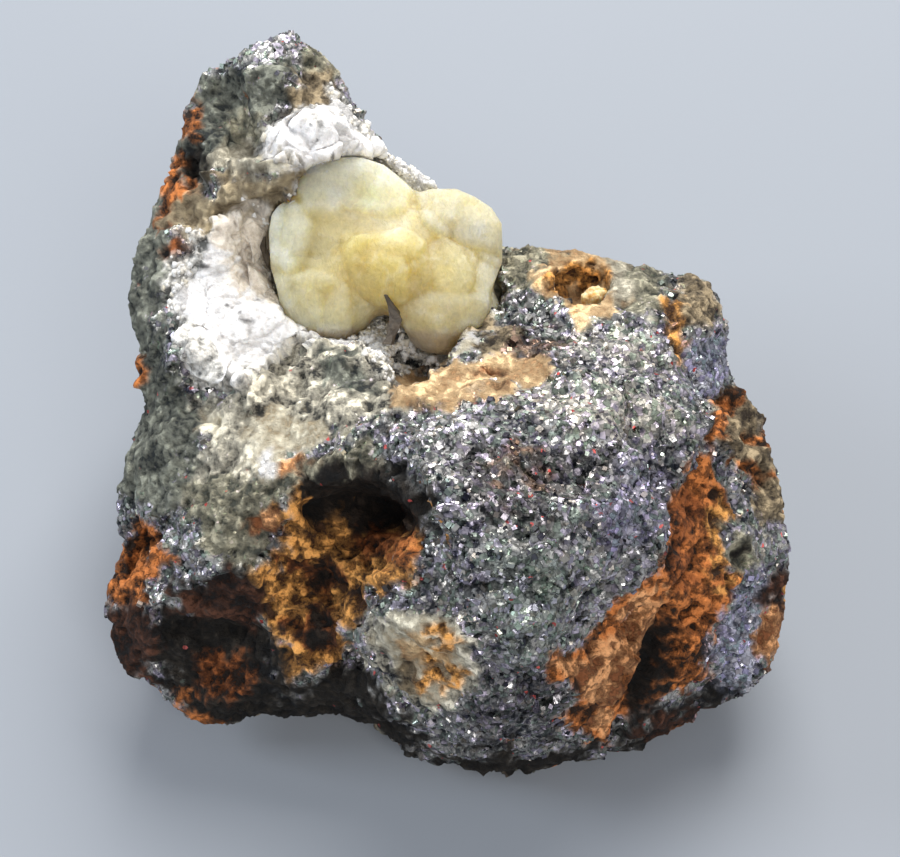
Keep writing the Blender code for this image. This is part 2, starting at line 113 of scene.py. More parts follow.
# Odd numbers that scramble whole numbers into fixed random ones, and the bits that are kept of those
SEED_FACTOR = 2654435761
AXIS_FACTORS = (73856093, 19349663, 83492791)
STEP_FACTOR = np.uint64(2246822519)
LAST_FACTOR = np.uint64(3266489917)
LOW_BITS = np.uint64(0xFFFFFFFF)

# Finishes of the stone, a value for each field. Light and dark are the two colours that are mixed in it, as
# daylight sRGB 0 to 255. Metal is the share of bare galena, sponge the depth of earthy pits, lumps the
# height of powdery knobs, grain the height of broken chips and powder the cover of white powder, all 0 to 1.
# The last value is how far the finish frays at its edge
FIELDS = ("light", "dark", "metal", "sponge", "lumps", "grain", "powder")
FINISHES = {
    "galena": ((178, 176, 172), (48, 50, 56), 1.0, 0.0, 0.0, 1.0, 0.0, 1.0),
    "pale galena": ((198, 192, 180), (74, 74, 80), 0.85, 0.1, 0.0, 0.9, 0.0, 2.4),
    "dark galena": ((136, 132, 130), (32, 33, 38), 1.0, 0.0, 0.0, 1.0, 0.0, 2.6),
    "green galena": ((170, 174, 166), (50, 54, 53), 0.9, 0.0, 0.0, 1.0, 0.0, 2.6),
    "violet galena": ((172, 168, 182), (50, 50, 58), 1.0, 0.0, 0.0, 1.0, 0.0, 2.6),
    "brown galena": ((146, 120, 102), (42, 33, 30), 0.7, 0.2, 0.0, 0.9, 0.0, 2.6),
    "dull": ((146, 148, 134), (38, 42, 42), 0.28, 0.25, 0.0, 0.8, 0.0, 1.6),
    "blue": ((188, 187, 198), (76, 78, 90), 0.85, 0.0, 0.0, 0.8, 0.0, 1.2),
    "greygreen": ((178, 172, 148), (66, 68, 60), 0.3, 0.45, 0.1, 0.7, 0.0, 1.4),
    "mottle": ((234, 226, 204), (46, 46, 44), 0.2, 0.5, 0.3, 0.6, 0.0, 1.4),
    "stained": ((208, 200, 178), (112, 104, 88), 0.1, 0.25, 0.2, 0.5, 0.0, 1.0),
    "ledge": ((198, 180, 146), (104, 90, 70), 0.05, 0.2, 0.0, 0.35, 0.0, 1.2),
    "brown": ((168, 150, 120), (50, 42, 34), 0.12, 0.6, 0.0, 0.5, 0.0, 1.3),
    # dark: near-black stone on the hidden sides; on the seen side its patches are mostly painted shade
    "dark": ((46, 41, 35), (11, 11, 12), 0.2, 0.5, 0.0, 0.7, 0.0, 2.2),
    "redbrown": ((90, 56, 40), (20, 16, 15), 0.0, 0.7, 0.0, 0.5, 0.0, 1.8),
    "rust": ((208, 126, 66), (38, 25, 16), 0.0, 1.0, 0.0, 0.3, 0.0, 0.9),
    "rustlight": ((240, 174, 118), (130, 80, 48), 0.0, 0.9, 0.1, 0.3, 0.0, 1.3),
    "rustdeep": ((150, 86, 44), (28, 18, 12), 0.0, 1.0, 0.0, 0.3, 0.0, 1.7),
    "ochre": ((238, 170, 92), (66, 42, 24), 0.0, 1.0, 0.0, 0.3, 0.0, 1.3),
    "tan": ((238, 204, 156), (176, 138, 98), 0.0, 0.35, 0.3, 0.3, 0.0, 0.9),
    "cream": ((238, 230, 206), (156, 142, 116), 0.0, 0.15, 0.4, 0.3, 0.5, 0.9),
    "sugar": ((228, 224, 214), (30, 32, 34), 0.0, 1.0, 0.7, 0.0, 0.8, 0.8),
    "dusted": ((244, 240, 232), (92, 92, 88), 0.08, 0.5, 0.35, 0.4, 0.8, 1.4),
    "white": ((253, 251, 250), (208, 205, 202), 0.0, 0.1, 0.3, 0.2, 1.0, 1.0),
    "pinkgrey": ((250, 240, 226), (206, 194, 178), 0.0, 0.05, 0.2, 0.1, 0.9, 1.4),
    # painted shadow: near-black laid where shade falls, inside the hollow, in holes and in grooves
    "painted shadow": ((38, 29, 22), (9, 8, 8), 0.0, 0.6, 0.0, 0.3, 0.0, 2.2),
}

# Finishes of the sides that the camera doesn't see: each with the size of its patches, how strong the noise
# is where they begin, and the noise's seed
HIDDEN_FINISHES = (
    ("dull", 11.0, 0.0, 60),
    ("brown", 8.0, 0.22, 61),
    ("rust", 13.0, 0.12, 62),
    ("dark", 7.0, 0.3, 63),
    ("ochre", 6.0, 0.38, 64),
    ("greygreen", 9.0, 0.3, 65),
)

# How far past its outline a finish is looked for
PATCH_REACH = 2.5

# Where the finishes lie on the side that the camera sees, later ones over earlier ones: outlines on the
# picture plane, with a point wherever the edge turns
PATCHES = [
    # tints within the galena's broad front
    ("pale galena", "6,4.4 12,4.8 18,4 23,2 25,-0.5 20,-1.6 14,-0.6 9,1 5,2.4"),
    ("pale galena", "12,9.6 18,9.4 22,8.6 22,6 16,6.2 11,7"),
    ("dark galena", "0.5,-1.5 4,-0.5 8,-2 11,-5 10,-9 6,-11 2.5,-8"),
    ("dark galena", "10.5,-1.6 15,-2 16.4,-5 14,-8 11.5,-6"),
    ("brown galena", "4.5,-3 7.5,-2.6 8.5,-5 6.5,-7 4.6,-5.4"),
    ("brown galena", "10.6,8.6 6,9.8 4.6,8 6,6.6 10,6.8"),
    ("violet galena", "17,-3 21,-3.4 20.6,-8 19.6,-12 16,-13 15,-8"),
    ("green galena", "4,-11 9,-11.5 12,-15 11,-21 7,-24 4,-19"),
    ("dark galena", "5,-25 10,-24 12.5,-27 10,-30 3,-30 0.5,-28"),
    # the spire and the left flank
    ("dull", "-26,34 -22,37 -19,37 -16,36.4 -15,33.5 -17,31 -18.5,28 -19.5,26.5 -23,27 -24.5,24 -28,22 "
     "-27,17 -28,13 -28.5,9 -26,4 -24,-3 -22.5,-8 -28,-8 -36,-6 -36,12 -32,20 -28,28"),
    ("greygreen", "-23,31 -20,32 -17.5,30.5 -18.6,27 -22,26.4"),
    ("greygreen", "-15.6,37.6 -13,38.6 -11,36 -12.4,34.2 -15.4,35"),
    ("brown", "-17.4,31 -16.8,33.6 -15,35.6 -12.4,35.4 -11,33.5 -10,32 -12,31.6 -13.5,30.2"),
    ("dusted", "-18.6,26 -20.4,27.4 -18.4,29.6 -17.8,31.4 -16,32.6 -13.5,31.6 -12,33.2 -10,32.8 -7.8,30.2 "
     "-5.4,28.4 -2.8,26.4 0,24 -2,22 -8,20 -16,22"),
    ("white", "-18.2,26.4 -19,27.6 -17.4,29.4 -17,31 -15.6,31.8 -13.4,30.6 -12,32.2 -10.4,32 -8.6,29.8 "
     "-6.2,27.8 -3.6,26 -1,24 -2,20 -8,18 -16,20 -16,25.4"),
    ("ledge", "-24.8,22.2 -24,24.6 -21.5,26 -18.5,25.9 -14.6,26 -14.2,25.2 -16.4,24.8 -16.8,22.6 "
     "-19.6,21.8 -22,20.8"),
    ("stained", "-25,26.4 -22.6,28.4 -19.8,28.2 -18,27 -14.8,26.5 -17.8,25.5 -21.8,25.7"),
    # painted shade in the small hole left of the ledge
    ("dark", "-27.2,28 -25,27.2 -24.4,24.4 -26.2,23.8 -27.4,25.6"),
    ("rust", "-27,31.4 -25.6,32.9 -24.9,32.2 -25.5,29.4 -27,29.2"),
    ("rust", "-28,27.4 -26.6,27.8 -27.2,25.2 -26,24.6 -25,24.2 -24.8,22.2 -26.5,21.8 -26.8,20 -28.6,20 "
     "-29,24"),
    ("rustdeep", "-27.8,19.8 -25.8,19 -24.6,18.6 -24.8,16.6 -26.4,17.2 -28.4,18"),
    ("rust", "-31.8,7 -30.1,7.2 -30,5.6 -30.2,4.2 -32,4.2"),
    ("ledge", "-28,21 -25.6,23.6 -22,24.6 -17,24.6 -16,21.4 -19,20.6 -22,19.6 -25.6,18.4"),
    # the pocket round the crystals
    ("dusted", "-25.2,20 -22,21 -19,22.4 -17,21.4 -17,17 -16,9 -9,7.6 -13,7.6 -17,6 -19.6,3.4 -22.5,2.6 "
     "-25.4,4.6 -27.6,8.6 -28.6,12.6 -27.6,15.6"),
    ("white", "-24.6,19 -22,20 -19,21.4 -14,22 4,20 3,8 -3,9.4 -8.6,9 -9.6,8.6 -12.4,8.6 -15.6,7.8 -18,6.2 "
     "-19.6,4.8 -20.4,3.8 -22.4,4.2 -24.2,6.4 -25.8,9.4 -27,12.4 -26,14.6 -25,16.6"),
    ("pinkgrey", "-24.4,21.2 -21,22 -18,21.8 -16,20 -16,14 -17.2,12.4 -19.4,12.4 -22.2,13.2 -22.8,15.5 "
     "-23,18 -24.5,18.8"),
    ("cream", "5.8,16.6 5.2,14.2 3,10.6 2,8 0.9,6.2 0.1,6.5 1.2,8.4 2.4,11.4 4,14.2 4.6,16.6"),
    ("sugar", "-9.8,9.4 -8,10.4 -6,10.8 -4,10.4 -3.4,8 -3.2,6.8 -4.4,4.8 -6,4.2 -7.6,5 -9.6,7.4"),
    ("sugar", "-4,8.4 0.4,9 0.8,7 0,6.2 -2,5.6 -4.2,4.9"),
    # the ridge that crosses in front of the pocket
    ("mottle", "-20.4,3.6 -17.2,7.4 -13,8.4 -9.6,8.3 -7,6 -4.6,4.2 -3,3 -6,2 -10,0.6 -14,-1.6 -18,-4 "
     "-22,-8 -27,-8 -24,-1 -25.6,3.6 -22.4,3"),
    ("greygreen", "-27,-6 -21,-4.4 -14,-2.4 -8.4,-1.4 -6,-4.4 -9,-5.4 -13,-5.8 -17,-7 -18,-13.4 -22,-14 "
     "-25,-12.6"),
    ("dull", "-13.4,7.2 -10,7.4 -7.4,5 -8.4,3 -11.8,3.2 -13.8,5"),
    ("cream", "-20.4,1.2 -18,2.2 -15,1.8 -12.8,1 -12,-0.8 -13.4,-2.2 -16,-2.4 -17.4,-4.6 -19.6,-5 "
     "-20.8,-2.6"),
    ("white", "-19.6,-3 -18.4,-2.2 -17.4,-3.2 -18,-4.6 -19.2,-4.4"),
    ("cream", "-25.2,1 -24.4,2.2 -23.2,2 -22.8,0.8 -23.8,-0.4 -24.8,-0.2"),
    ("rustlight", "-17.4,-2.9 -15.4,-2.7 -14,-3.1 -15,-4.2 -17,-4.7"),
    ("rustlight", "-20.8,-8.6 -19,-8 -16.6,-8.4 -16.4,-9.8 -18,-10.8 -20.2,-10.2"),
    # the tan ledge
    ("tan", "-6,3.4 -3.8,5.4 0.6,6.9 4.5,7.4 10.2,6.9 10.4,5.2 6.5,4 3,3.4 1.6,2.6 0.6,1.6 -1,1.5 -3,2.2"),
    # painted shade in the small hole in the ledge, in deep rust colours
    ("rustdeep", "3.6,5.5 4.6,5.9 5.6,5.6 4.7,5.2"),
    ("brown", "3.6,10.6 5.6,9.4 5.2,8 3,7.4 2.4,8.6"),
    # the upper right rim and its corner
    ("greygreen", "5,14.4 5.2,17.6 9,19.4 12,19 18,17.6 22,16.8 21.6,14.4 21.4,11.6 17,11.2 14,10.2 "
     "11,11.4 8.8,14"),
    ("tan", "8.6,15.4 10.4,18 13,18.8 16.4,17.4 17.8,15 17.4,12.4 15,10.9 13,10.2 11,11.8 9,13.6"),
    ("stained", "15.2,17.8 18,16.8 18.2,13.4 16.4,12 16.4,15.2"),
    ("ochre", "10.4,16.4 12.4,17.4 13.6,16.4 12,14.6 12.6,12.2 11,12.6 9.8,14.4"),
    ("ochre", "12.6,16.4 15,16 15.6,14.4 14.2,13.2 12.8,13.2 12.2,14.8"),
    ("brown", "21.8,13 24.4,15.6 27,14.6 26.4,10 25.2,9.2 24.2,10"),
    ("ochre", "21.6,13 22.8,13 23.3,10 24.1,6.4 23.4,6.6 22.1,9.8"),
    ("blue", "25.2,9.6 26.4,10.2 28,9 28,4.6 26.8,3.2 24.6,4 23.8,6.4 24.2,8.4"),
    # the limonite pocket on the right
    ("brown", "26.2,2 27.2,4 29.4,4.4 30.8,2.4 31.8,0.6 33,-1.4 34,-3.6 34.2,-6.8 34.2,-9.4 32,-9 "
     "30.4,-6.8 28.9,-4.6 27.7,-2.4 26.2,-0.8"),
    ("rust", "26.2,1.4 27.4,3.4 29,3.7 28.8,2.2 27.8,0.6 27.4,-1.4 26.4,-0.4"),
    ("rust", "28.2,-3.4 30.4,-3 32,-4.4 31,-6 29.4,-5.4"),
    ("rust", "30.4,-0.2 31.6,0.6 33,-1.6 31.4,-2.2"),
    # painted shadow in the small hole of the pocket
    ("painted shadow", "26.9,2.5 27.5,3.2 28.4,2.6 27.9,2"),
    # the rusty wedge
    ("rust", "25.8,-0.3 26.2,-3 27,-5.6 29,-8.2 27.6,-9.6 27,-12.5 28.2,-14.4 29.2,-15 28.6,-17 26.8,-18.5 "
     "26.2,-21.5 25.9,-25.6 23,-26.6 20.4,-27.6 18.6,-28.4 16.2,-30.6 15.5,-31.8 13.2,-30.8 11.4,-29 "
     "13,-27 10.3,-25 10.2,-22.6 13,-21 15,-18.4 18,-16.2 20.6,-14.6 21,-12 21.6,-8 23.2,-4.4"),
    ("rustdeep", "21.6,-9 23.4,-5.6 25.4,-5.6 25.2,-9 24.2,-10.6 24.6,-15.6 21.6,-15.8 21.2,-12"),
    # painted shadow along the groove in the wedge
    ("painted shadow", "20.2,-20.2 22,-19.8 22,-24.6 20.4,-27.4 16.8,-30.6 17.4,-27 18.2,-23.4"),
    ("rustlight", "18.2,-17 21.4,-16.2 20.8,-19 18.8,-22 17.4,-26 15.4,-30.6 13.8,-30 14,-27 12,-25 11,-23 "
     "14.4,-22.6 16.8,-20"),
    ("ochre", "26.8,-6.8 29,-8.4 27.8,-9.8 27.2,-12.8 28.8,-15 27,-16.4 25.6,-13.6 26,-9.4"),
    ("greygreen", "27.6,-10 30.2,-10.4 31.2,-14 29.4,-14.8 28,-14.2 27.4,-12.4"),
    # painted shade in the small hole in the wedge
    ("dark", "27.8,-11.6 28.8,-11 29.9,-12 29.8,-13.6 28.2,-13.4"),
    ("blue", "29.6,-14.6 32,-14 31.6,-19 30.8,-24 28,-26.4 26,-26 26.4,-20.6 28.4,-17.4"),
    ("rustlight", "31,-18.8 33,-17 35,-20 34,-23 31,-24.2 30.6,-21"),
    ("redbrown", "32,-14.5 35,-14.5 34.6,-17.4 32,-17.6"),
    # painted shade along the bottom rim, next to the floor
    ("dark", "16.6,-31 20.4,-28 25.6,-26.2 28.4,-26.6 26,-30 20,-34 16,-33"),
    ("redbrown", "22,-28.4 25,-27.4 25,-30 21,-31.6 18.6,-30.4"),
    # the hollow at the lower left of the dome, with painted shade on its upper lip and painted shadow under
    # the lip and in its pits
    ("ochre", "-17,-7 -15.5,-5.4 -12,-5.4 -8,-4.8 -4.5,-6.5 -3,-8.5 -2.6,-11.5 -3.2,-14.5 -5.5,-16 "
     "-8.5,-15.8 -9,-18 -9.8,-20.5 -10.6,-23 -13,-25 -16,-25.2 -17.4,-22 -18.8,-19.5 -18.8,-17.5 -20,-16 "
     "-20,-14.6 -17.6,-13.6 -16.6,-11"),
    # painted shade on the hollow's upper lip
    ("dark", "-15,-4.8 -11,-3.8 -7,-3.2 -3.2,-4.4 -1.6,-8 -2,-10.4 -4,-10 -8,-9 -13,-8.4 -15.8,-8.6"),
    # painted shadow under the lip
    ("painted shadow", "-14.6,-8.4 -12.6,-5.6 -8,-4.8 -4,-6.4 -2.8,-10 -5,-11.2 -8.4,-10.2 -12,-10.2 -14,-9.6"),
    ("rustdeep", "-9.4,-10.8 -3.4,-10.4 -3,-13 -5,-14.2 -6.4,-12.6 -9,-12.8"),
    ("rust", "-5.6,-11 -3.4,-10.6 -2.8,-12.6 -3.8,-14.2 -5,-13"),
    ("rustdeep", "-16.6,-13.4 -14.4,-12.6 -12,-13.6 -10.6,-15.4 -12.4,-17 -14.6,-16.2"),
    # painted shadow in a pit
    ("painted shadow", "-15,-14 -13.2,-13.8 -12,-15.2 -13.4,-16.2 -14.8,-15.4"),
    ("rustdeep", "-16.4,-19 -14,-18 -11.6,-18.6 -11,-21 -13.6,-22.8 -15.8,-21.6"),
    # painted shadow in a pit
    ("painted shadow", "-15.4,-19.6 -13,-18.9 -12.2,-20.6 -13.8,-22 -15.2,-21"),
    # the dark foot, painted shade over dark stone where the lower front faces down, and the rusty corners
    # below
    ("dark", "-29.6,-17.4 -25,-15.4 -22,-14 -19.6,-15.6 -18.8,-19 -17.4,-22.4 -16.2,-25.2 -13,-25.2 "
     "-11,-23.6 -8.3,-23.2 -7,-26 -4.6,-29 -1.6,-33 -9,-34 -28,-34 -28,-26 -31,-24"),
    ("redbrown", "-29,-18 -25.6,-16 -22,-14.6 -19.6,-17 -19,-19.6 -27,-19.8"),
    ("rustdeep", "-25.8,-24.4 -24.6,-22.6 -23,-21.8 -20.8,-23 -20.2,-25 -21.5,-26.8 -24.6,-26.8"),
    ("rust", "-28,-26.6 -26,-26.4 -25.2,-28 -24.6,-29.4 -21,-30.4 -26,-32"),
    ("rust", "-33,-11 -30.5,-9.6 -28.4,-11 -27.6,-12.6 -28.8,-14.6 -30.2,-16 -28.8,-18 -31,-18 -35,-17.4 "
     "-34.6,-14"),
    ("redbrown", "-36,-18 -29.4,-18.2 -29.4,-22 -31,-25.4 -34.6,-25 -36,-21"),
    # the cream and yellow knob low on the dome
    ("mottle", "-8.4,-22 -7.4,-18.4 -3.5,-18 0.6,-18.8 2.4,-21.5 2.6,-25 0.4,-28 -3.5,-28.6 -6.5,-25.6"),
    ("cream", "-7.4,-21.4 -6,-18.8 -2,-18.8 1,-20 1.8,-23 0.6,-26 -3,-27 -5.6,-24.6"),
    ("tan", "-5.6,-21.6 -3.6,-20.8 -1,-21.6 0.8,-22.8 0.2,-24.2 -2.6,-23.2 -5,-23.4"),
    ("ochre", "-1.8,-20.2 -0.2,-20.2 0.8,-21.8 0,-22.8 -1.6,-22"),
    ("ochre", "-3.8,-24.4 -1,-23.8 1.2,-24.4 0.4,-26 -2.6,-25.8"),
    ("brown", "-6.6,-23.2 -4.8,-22.8 -3.6,-25 -4.6,-26.6"),
    # painted shade along the bottom rim, next to the floor
    ("dark", "-3,-31.6 2,-32.2 8,-32 12,-31.4 15,-32 12,-36 -2,-36"),
]

# The crystals' outline as the camera sees it
CRYSTAL_OUTLINE = (
    "-17.8,21.4 -17.2,22.2 -15.4,23.4 -15.2,25 -14.2,25.9 -13.1,26.5 -10.9,27 -8.8,27 -6.6,26.3 -4.5,24.6 "
    "-3.4,23.5 -1.9,23.9 0.7,23.8 2.4,23.1 4.1,22 5.1,20.5 5.2,16.7 4.5,14.9 3.3,12.4 2,10.6 -1,9.6 "
    "-3.4,9.5 -5.4,11.2 -8,10.8 -10.4,9 -13,9.6 -16.5,11.5 -17.9,16 -18.1,19.6"
)

# The cluster's upper left edge, which is drawn toward the camera so that it stands before the crust
FORWARD_EDGE = "-16.4,21.6 -15,24 -12.4,26 -9.4,26.8 -6,26"
FORWARD_BY = 1.5

# The grid on the picture plane that bridges the hollows between the crystals' lobes: its cell, its reach in
# cells, and how deep a hollow it fills at most
BRIDGE_CELL = 0.5
BRIDGE_REACH = 11
BRIDGE_MOST = 5.0

# Crystals that stand out from the cluster's face: an outline, how far it rises, and its colour
CRYSTAL_PLATES = [
    ("-15,23.3 -14.6,24.9 -12.9,26.6 -10.2,27.4 -8.1,27.2 -5.7,25.8 -3.9,23.8 -4.7,22 -7,21.2 -8.9,21.7 "
     "-10.8,22.1 -11.8,21.5 -13.4,21.2 -14.6,22", 0.585, (255, 247, 214)),
    ("-17.9,19.3 -17.6,21 -16.3,22.2 -14.7,21.7 -13.9,20.4 -14.2,18.3 -14.7,17 -15.5,15.9 -17.2,16.7 "
     "-17.9,17.8", 0.455, (240, 232, 200)),
    ("-17.2,15.6 -14.2,15.6 -11.6,15.1 -10.2,14 -10.2,9.4 -14.2,9.6 -16.8,11 "
     "-17.6,13.5", 0.455, (232, 220, 178)),
    ("-10.5,19.2 -8.1,19.2 -5.2,19.7 -3.6,19.1 -2.5,17.8 -1.9,15.1 -3.1,13.5 -5.2,12.7 -7,12.5 -8.9,13.5 "
     "-10.2,16.4", 0.585, (208, 190, 124)),
    ("-2.3,18.4 -0.4,19.1 1.4,18.3 2.5,16.7 2.5,14.6 1.2,13.5 -1,13.5 -1.9,15.1", 0.455, (212, 197, 142)),
    ("-5.2,12.5 -2.5,13.5 1.2,13.5 3.8,13.5 3.4,11.2 1.9,9.6 -2.5,9 -4.4,9.8", 0.39, (226, 212, 168)),
    ("-3.3,23.6 -1,24.2 1.9,23.8 4.6,22.6 5.6,20.7 5.8,17.8 3.6,17.5 1.7,18.3 -0.4,19.2 -2.3,19.6 "
     "-3.1,21.5", 0.65, (206, 199, 170)),
    ("3.3,17.2 5.6,17.8 5,14 3,12 2.6,15", 0.26, (218, 208, 172)),
]

# Thin dark splinters on the crystals: places on the picture plane with the width there
SPLINTERS = {
    "dark_splinter": [(-6.3, 8.4, 1.5), (-5.8, 9.2, 0.8), (-5.7, 10.0, 1.1), (-5.3, 10.9, 0.9),
                      (-5.6, 11.7, 1.2), (-6.0, 12.5, 0.8), (-6.4, 13.4, 0.4)],
    "brown_splinter": [(-18.5, 19.2, 0.2), (-18.6, 18.2, 0.65), (-18.4, 17.2, 0.75), (-18.1, 16.2, 0.5),
                       (-17.8, 15.6, 0.15)],
}

# Veils, painted shadows and a painted highlight inside the crystals: a place, its radius, its colour, and
# how much of it shows
CRYSTAL_VEILS_AND_PAINTED_LIGHT = [
    # a painted highlight, the whitish spot on the top lobe
    ((-11.4, 23.2), 1.2, (252, 248, 238), 0.7),
    ((-12.8, 24.6), 0.9, (192, 184, 154), 0.5),
    ((-9.0, 25.4), 1.1, (214, 208, 182), 0.5),
    ((-5.6, 20.4), 1.5, (240, 234, 206), 0.5),
    ((-15.4, 19.6), 1.4, (236, 230, 196), 0.5),
    # a painted shadow at the lower right of the cluster
    ((1.6, 15.4), 1.1, (172, 160, 124), 0.55),
    ((-0.4, 16.6), 0.8, (190, 174, 120), 0.5),
    ((2.9, 19.8), 1.0, (204, 206, 200), 0.6),
    ((0.4, 21.6), 1.3, (238, 234, 214), 0.5),
    ((-16.2, 14.2), 0.8, (176, 166, 126), 0.5),
    ((-8.4, 16.6), 1.6, (196, 172, 92), 0.4),
]

# How far a splinter may lean away from the camera, and how far it lies before the surface
SPLINTER_LEAN = 0.8
SPLINTER_LIFT = 0.2

# Ridges and grooves: a line on the picture plane, its half width, and how far it rises or sinks
STROKES = [
    ("5.2,15.6 4.4,13.6 2.6,10.6 1.6,8.2 0.5,6.5", 0.8, 0.7),
    ("-24,24.8 -21.5,26.3 -18,26.2 -14.6,26", 0.9, 0.8),
    ("-23.5,21.4 -20,22 -17.2,23", 1.1, -1.1),
    ("-5,3.3 -1.5,2.2 0.6,2.6 2,3.8 6,4.6 9.8,5.6", 0.9, 0.6),
    ("4,5.6 5.2,5.6", 0.6, -0.7),
    ("21.8,12.6 22.6,9.8 23.8,7 25.2,4 26.4,1.6", 0.9, -0.8),
    ("24.6,14 25.4,11.6 25.2,9.6", 1.3, 0.8),
    ("10,6 13,4.4 17,3 21,1.6 25.4,0.4", 1.6, 0.5),
    ("7,12.6 12,9.6 17,9.4 21,9.6", 1.4, -0.4),
    ("-16.5,-5.6 -12,-4.8 -8,-4.2 -4.6,-5.8 -2.4,-8.6 -1.8,-12", 1.2, 0.7),
    ("-13.4,-8.4 -9,-7.8 -5,-9.4", 2.3, -1.6),
    ("-14.6,-15.2 -12.6,-15", 1.6, -1.2),
    ("-14.8,-19.8 -13,-19.8", 1.8, -1.2),
    ("-16,-12.2 -12,-12.4 -9.4,-15 -6,-15 -3.6,-13", 1.1, 0.9),
    ("-18.2,-18.4 -16,-17.4 -13,-17.3 -10.6,-19.5 -11.2,-22.5 -14,-24", 1.0, 0.9),
    ("-30.5,-10.4 -31.4,-12.6 -32.6,-14.6", 0.7, -1.0),
    ("-28.6,-11.6 -30.4,-13.4 -32,-15.8", 0.7, 0.5),
    ("-29.4,-16.8 -25.6,-15 -22,-13.6 -19.4,-15", 0.9, 0.8),
    ("-27,-20 -23,-19.6 -19,-21", 1.4, -0.8),
    ("25.6,0.6 22.8,-4 21,-8.4 20.3,-13.4 17.6,-15.4 14.6,-17.6", 1.0, 0.6),
    ("21.4,-19 20,-22.6 18.2,-27 17,-30", 1.3, -1.3),
    ("20.4,-16.8 18.6,-21 16.6,-26 14.8,-30", 0.9, 0.7),
    ("28.8,-12.4 29,-13", 1.4, -1.0),
    ("-30.6,4.4 -30.4,6.8", 0.9, 0.7),
    ("27.2,2.6 28,2.4", 0.8, -1.4),
    ("29.6,-0.6 30.2,-1.2", 1.0, -0.9),
    ("28.6,3.2 29.6,1.6 30.8,0.6", 0.9, 0.8),
    ("31.4,-2.2 30,-3.4", 0.9, 0.7),
    ("32.2,-5.4 32.8,-7.6", 0.9, 0.6),
    ("-26.1,26.4 -25.6,25.6", 1.0, -1.3),
    ("-19,4.6 -16,7.6 -12.6,8.4", 0.9, 0.6),
    ("-12.4,6 -9,5.6", 1.4, -0.5),
    ("-24.6,1.2 -23.6,0.8", 1.2, -1.0),
]

rng = np.random.default_rng(11)


def linear(colour):
    """sRGB 0 to 255 as the linear 0 to 1 that a shader takes."""
    c = np.asarray(colour, float) / 255.0
    return np.where(c <= 0.04045, c / 12.92, ((c + 0.055) / 1.055) ** 2.4)


def mixed(a, b, share):
    """One colour turned into another, by a share for each point."""
    share = share[:, None]
    return a * (1.0 - share) + b * share


def read(points):
    """(across, up, out) of points in millimetres, as three arrays."""
    offset = points - PLANE_CENTRE
    out = offset @ TOWARD
    stretch = VIEW_DISTANCE / (VIEW_DISTANCE - out)
    return offset @ RIGHT * stretch, offset @ UP * stretch, out


def smoothstep(low, high, value):
    """0 up to low and 1 from high on, with a soft rise between them."""
    t = np.clip((value - low) / (high - low), 0.0, 1.0)
    return t * t * (3.0 - 2.0 * t)


def hashed(rows, seed):
    """A fixed random number from 0 to 1 for each row of whole numbers."""
    h = np.full(len(rows), (seed * SEED_FACTOR + 97) & int(LOW_BITS), np.uint64)
    for column, factor in zip(rows.T, AXIS_FACTORS):
        h ^= (column.astype(np.int64) * factor).astype(np.uint64) & LOW_BITS
        h = (h * STEP_FACTOR) & LOW_BITS
        h ^= h >> np.uint64(13)
    h = (h * LAST_FACTOR) & LOW_BITS
    h ^= h >> np.uint64(16)
    return h.astype(float) / float(LOW_BITS)


def noise(points, size, seed=0):
    """Smooth noise from -1 to 1 with lumps of the given size."""
    p = points / size
    base = np.floor(p)
    f = p - base
    f = f * f * (3.0 - 2.0 * f)
    total = np.zeros(len(points))
    for corner in np.ndindex(2, 2, 2):
        total += np.where(corner, f, 1.0 - f).prod(1) * hashed(base + corner, seed)
    return total * 2.0 - 1.0


def fractal(points, size, octaves, seed=0):
    """Noise with finer and fainter lumps on it, about -1 to 1."""
    total = np.zeros(len(points))
    for i in range(octaves):
        total += noise(points + 17.3 * i, size / 2**i, seed + i) / 2**i
    return total / 1.5


def wander(points, size, seed):
    """Noise along each axis, to bend what is laid out on the points."""
    return np.stack([noise(points, size, seed + i) for i in range(3)], 1)


def cells(points, size, seed=0):
    """How far each point is from the nearest and the second nearest of scattered centres, in cell sizes.

    After these two come the way from the nearest centre and the cell that it is in.
    """
    p = points / size
    base = np.floor(p)
    nearest = np.full(len(points), 9.0)
    second = np.full(len(points), 9.0)
    offset = np.zeros_like(p)
    owner = np.zeros_like(p)
    for step in np.ndindex(3, 3, 3):
        cell = base + step - 1.0
        away = p - cell - np.stack([hashed(cell, seed + s) for s in (1, 2, 3)], 1)
        distance = np.linalg.norm(away, axis=1)
        closer = distance < nearest
        second = np.where(closer, nearest, np.minimum(second, distance))
        nearest = np.where(closer, distance, nearest)
        offset[closer] = away[closer]
        owner[closer] = cell[closer]
    return nearest, second, offset, owner


def chips(points, size, seed=0):
    """The height of flats that each have their own tilt, like broken chips, and how near an edge is."""
    nearest, second, offset, owner = cells(points, size, seed)
    tilt = np.stack([hashed(owner, seed + s) for s in (4, 5, 6)], 1) - 0.5
    return (offset * tilt).sum(1) * size, smoothstep(0.16, 0.0, second - nearest)


def pits(points, size, seed=0):
    """Round pits close together, 1 at their bottom and 0 on the walls between them."""
    return smoothstep(0.58, 0.12, cells(points, size, seed)[0])


def knobs(points, size, seed=0):
    """Round knobs close together, 1 on top and 0 in the gaps between them."""
    nearest, second, _, _ = cells(points, size, seed)
    return smoothstep(0.0, 0.55, second - nearest)


def places(text, closed=False):
    """The places of an outline or a line, with the first one again at the end of a closed one."""
    found = [tuple(float(number) for number in place.split(",")) for place in text.split()]
    return found + found[:1] if closed else found


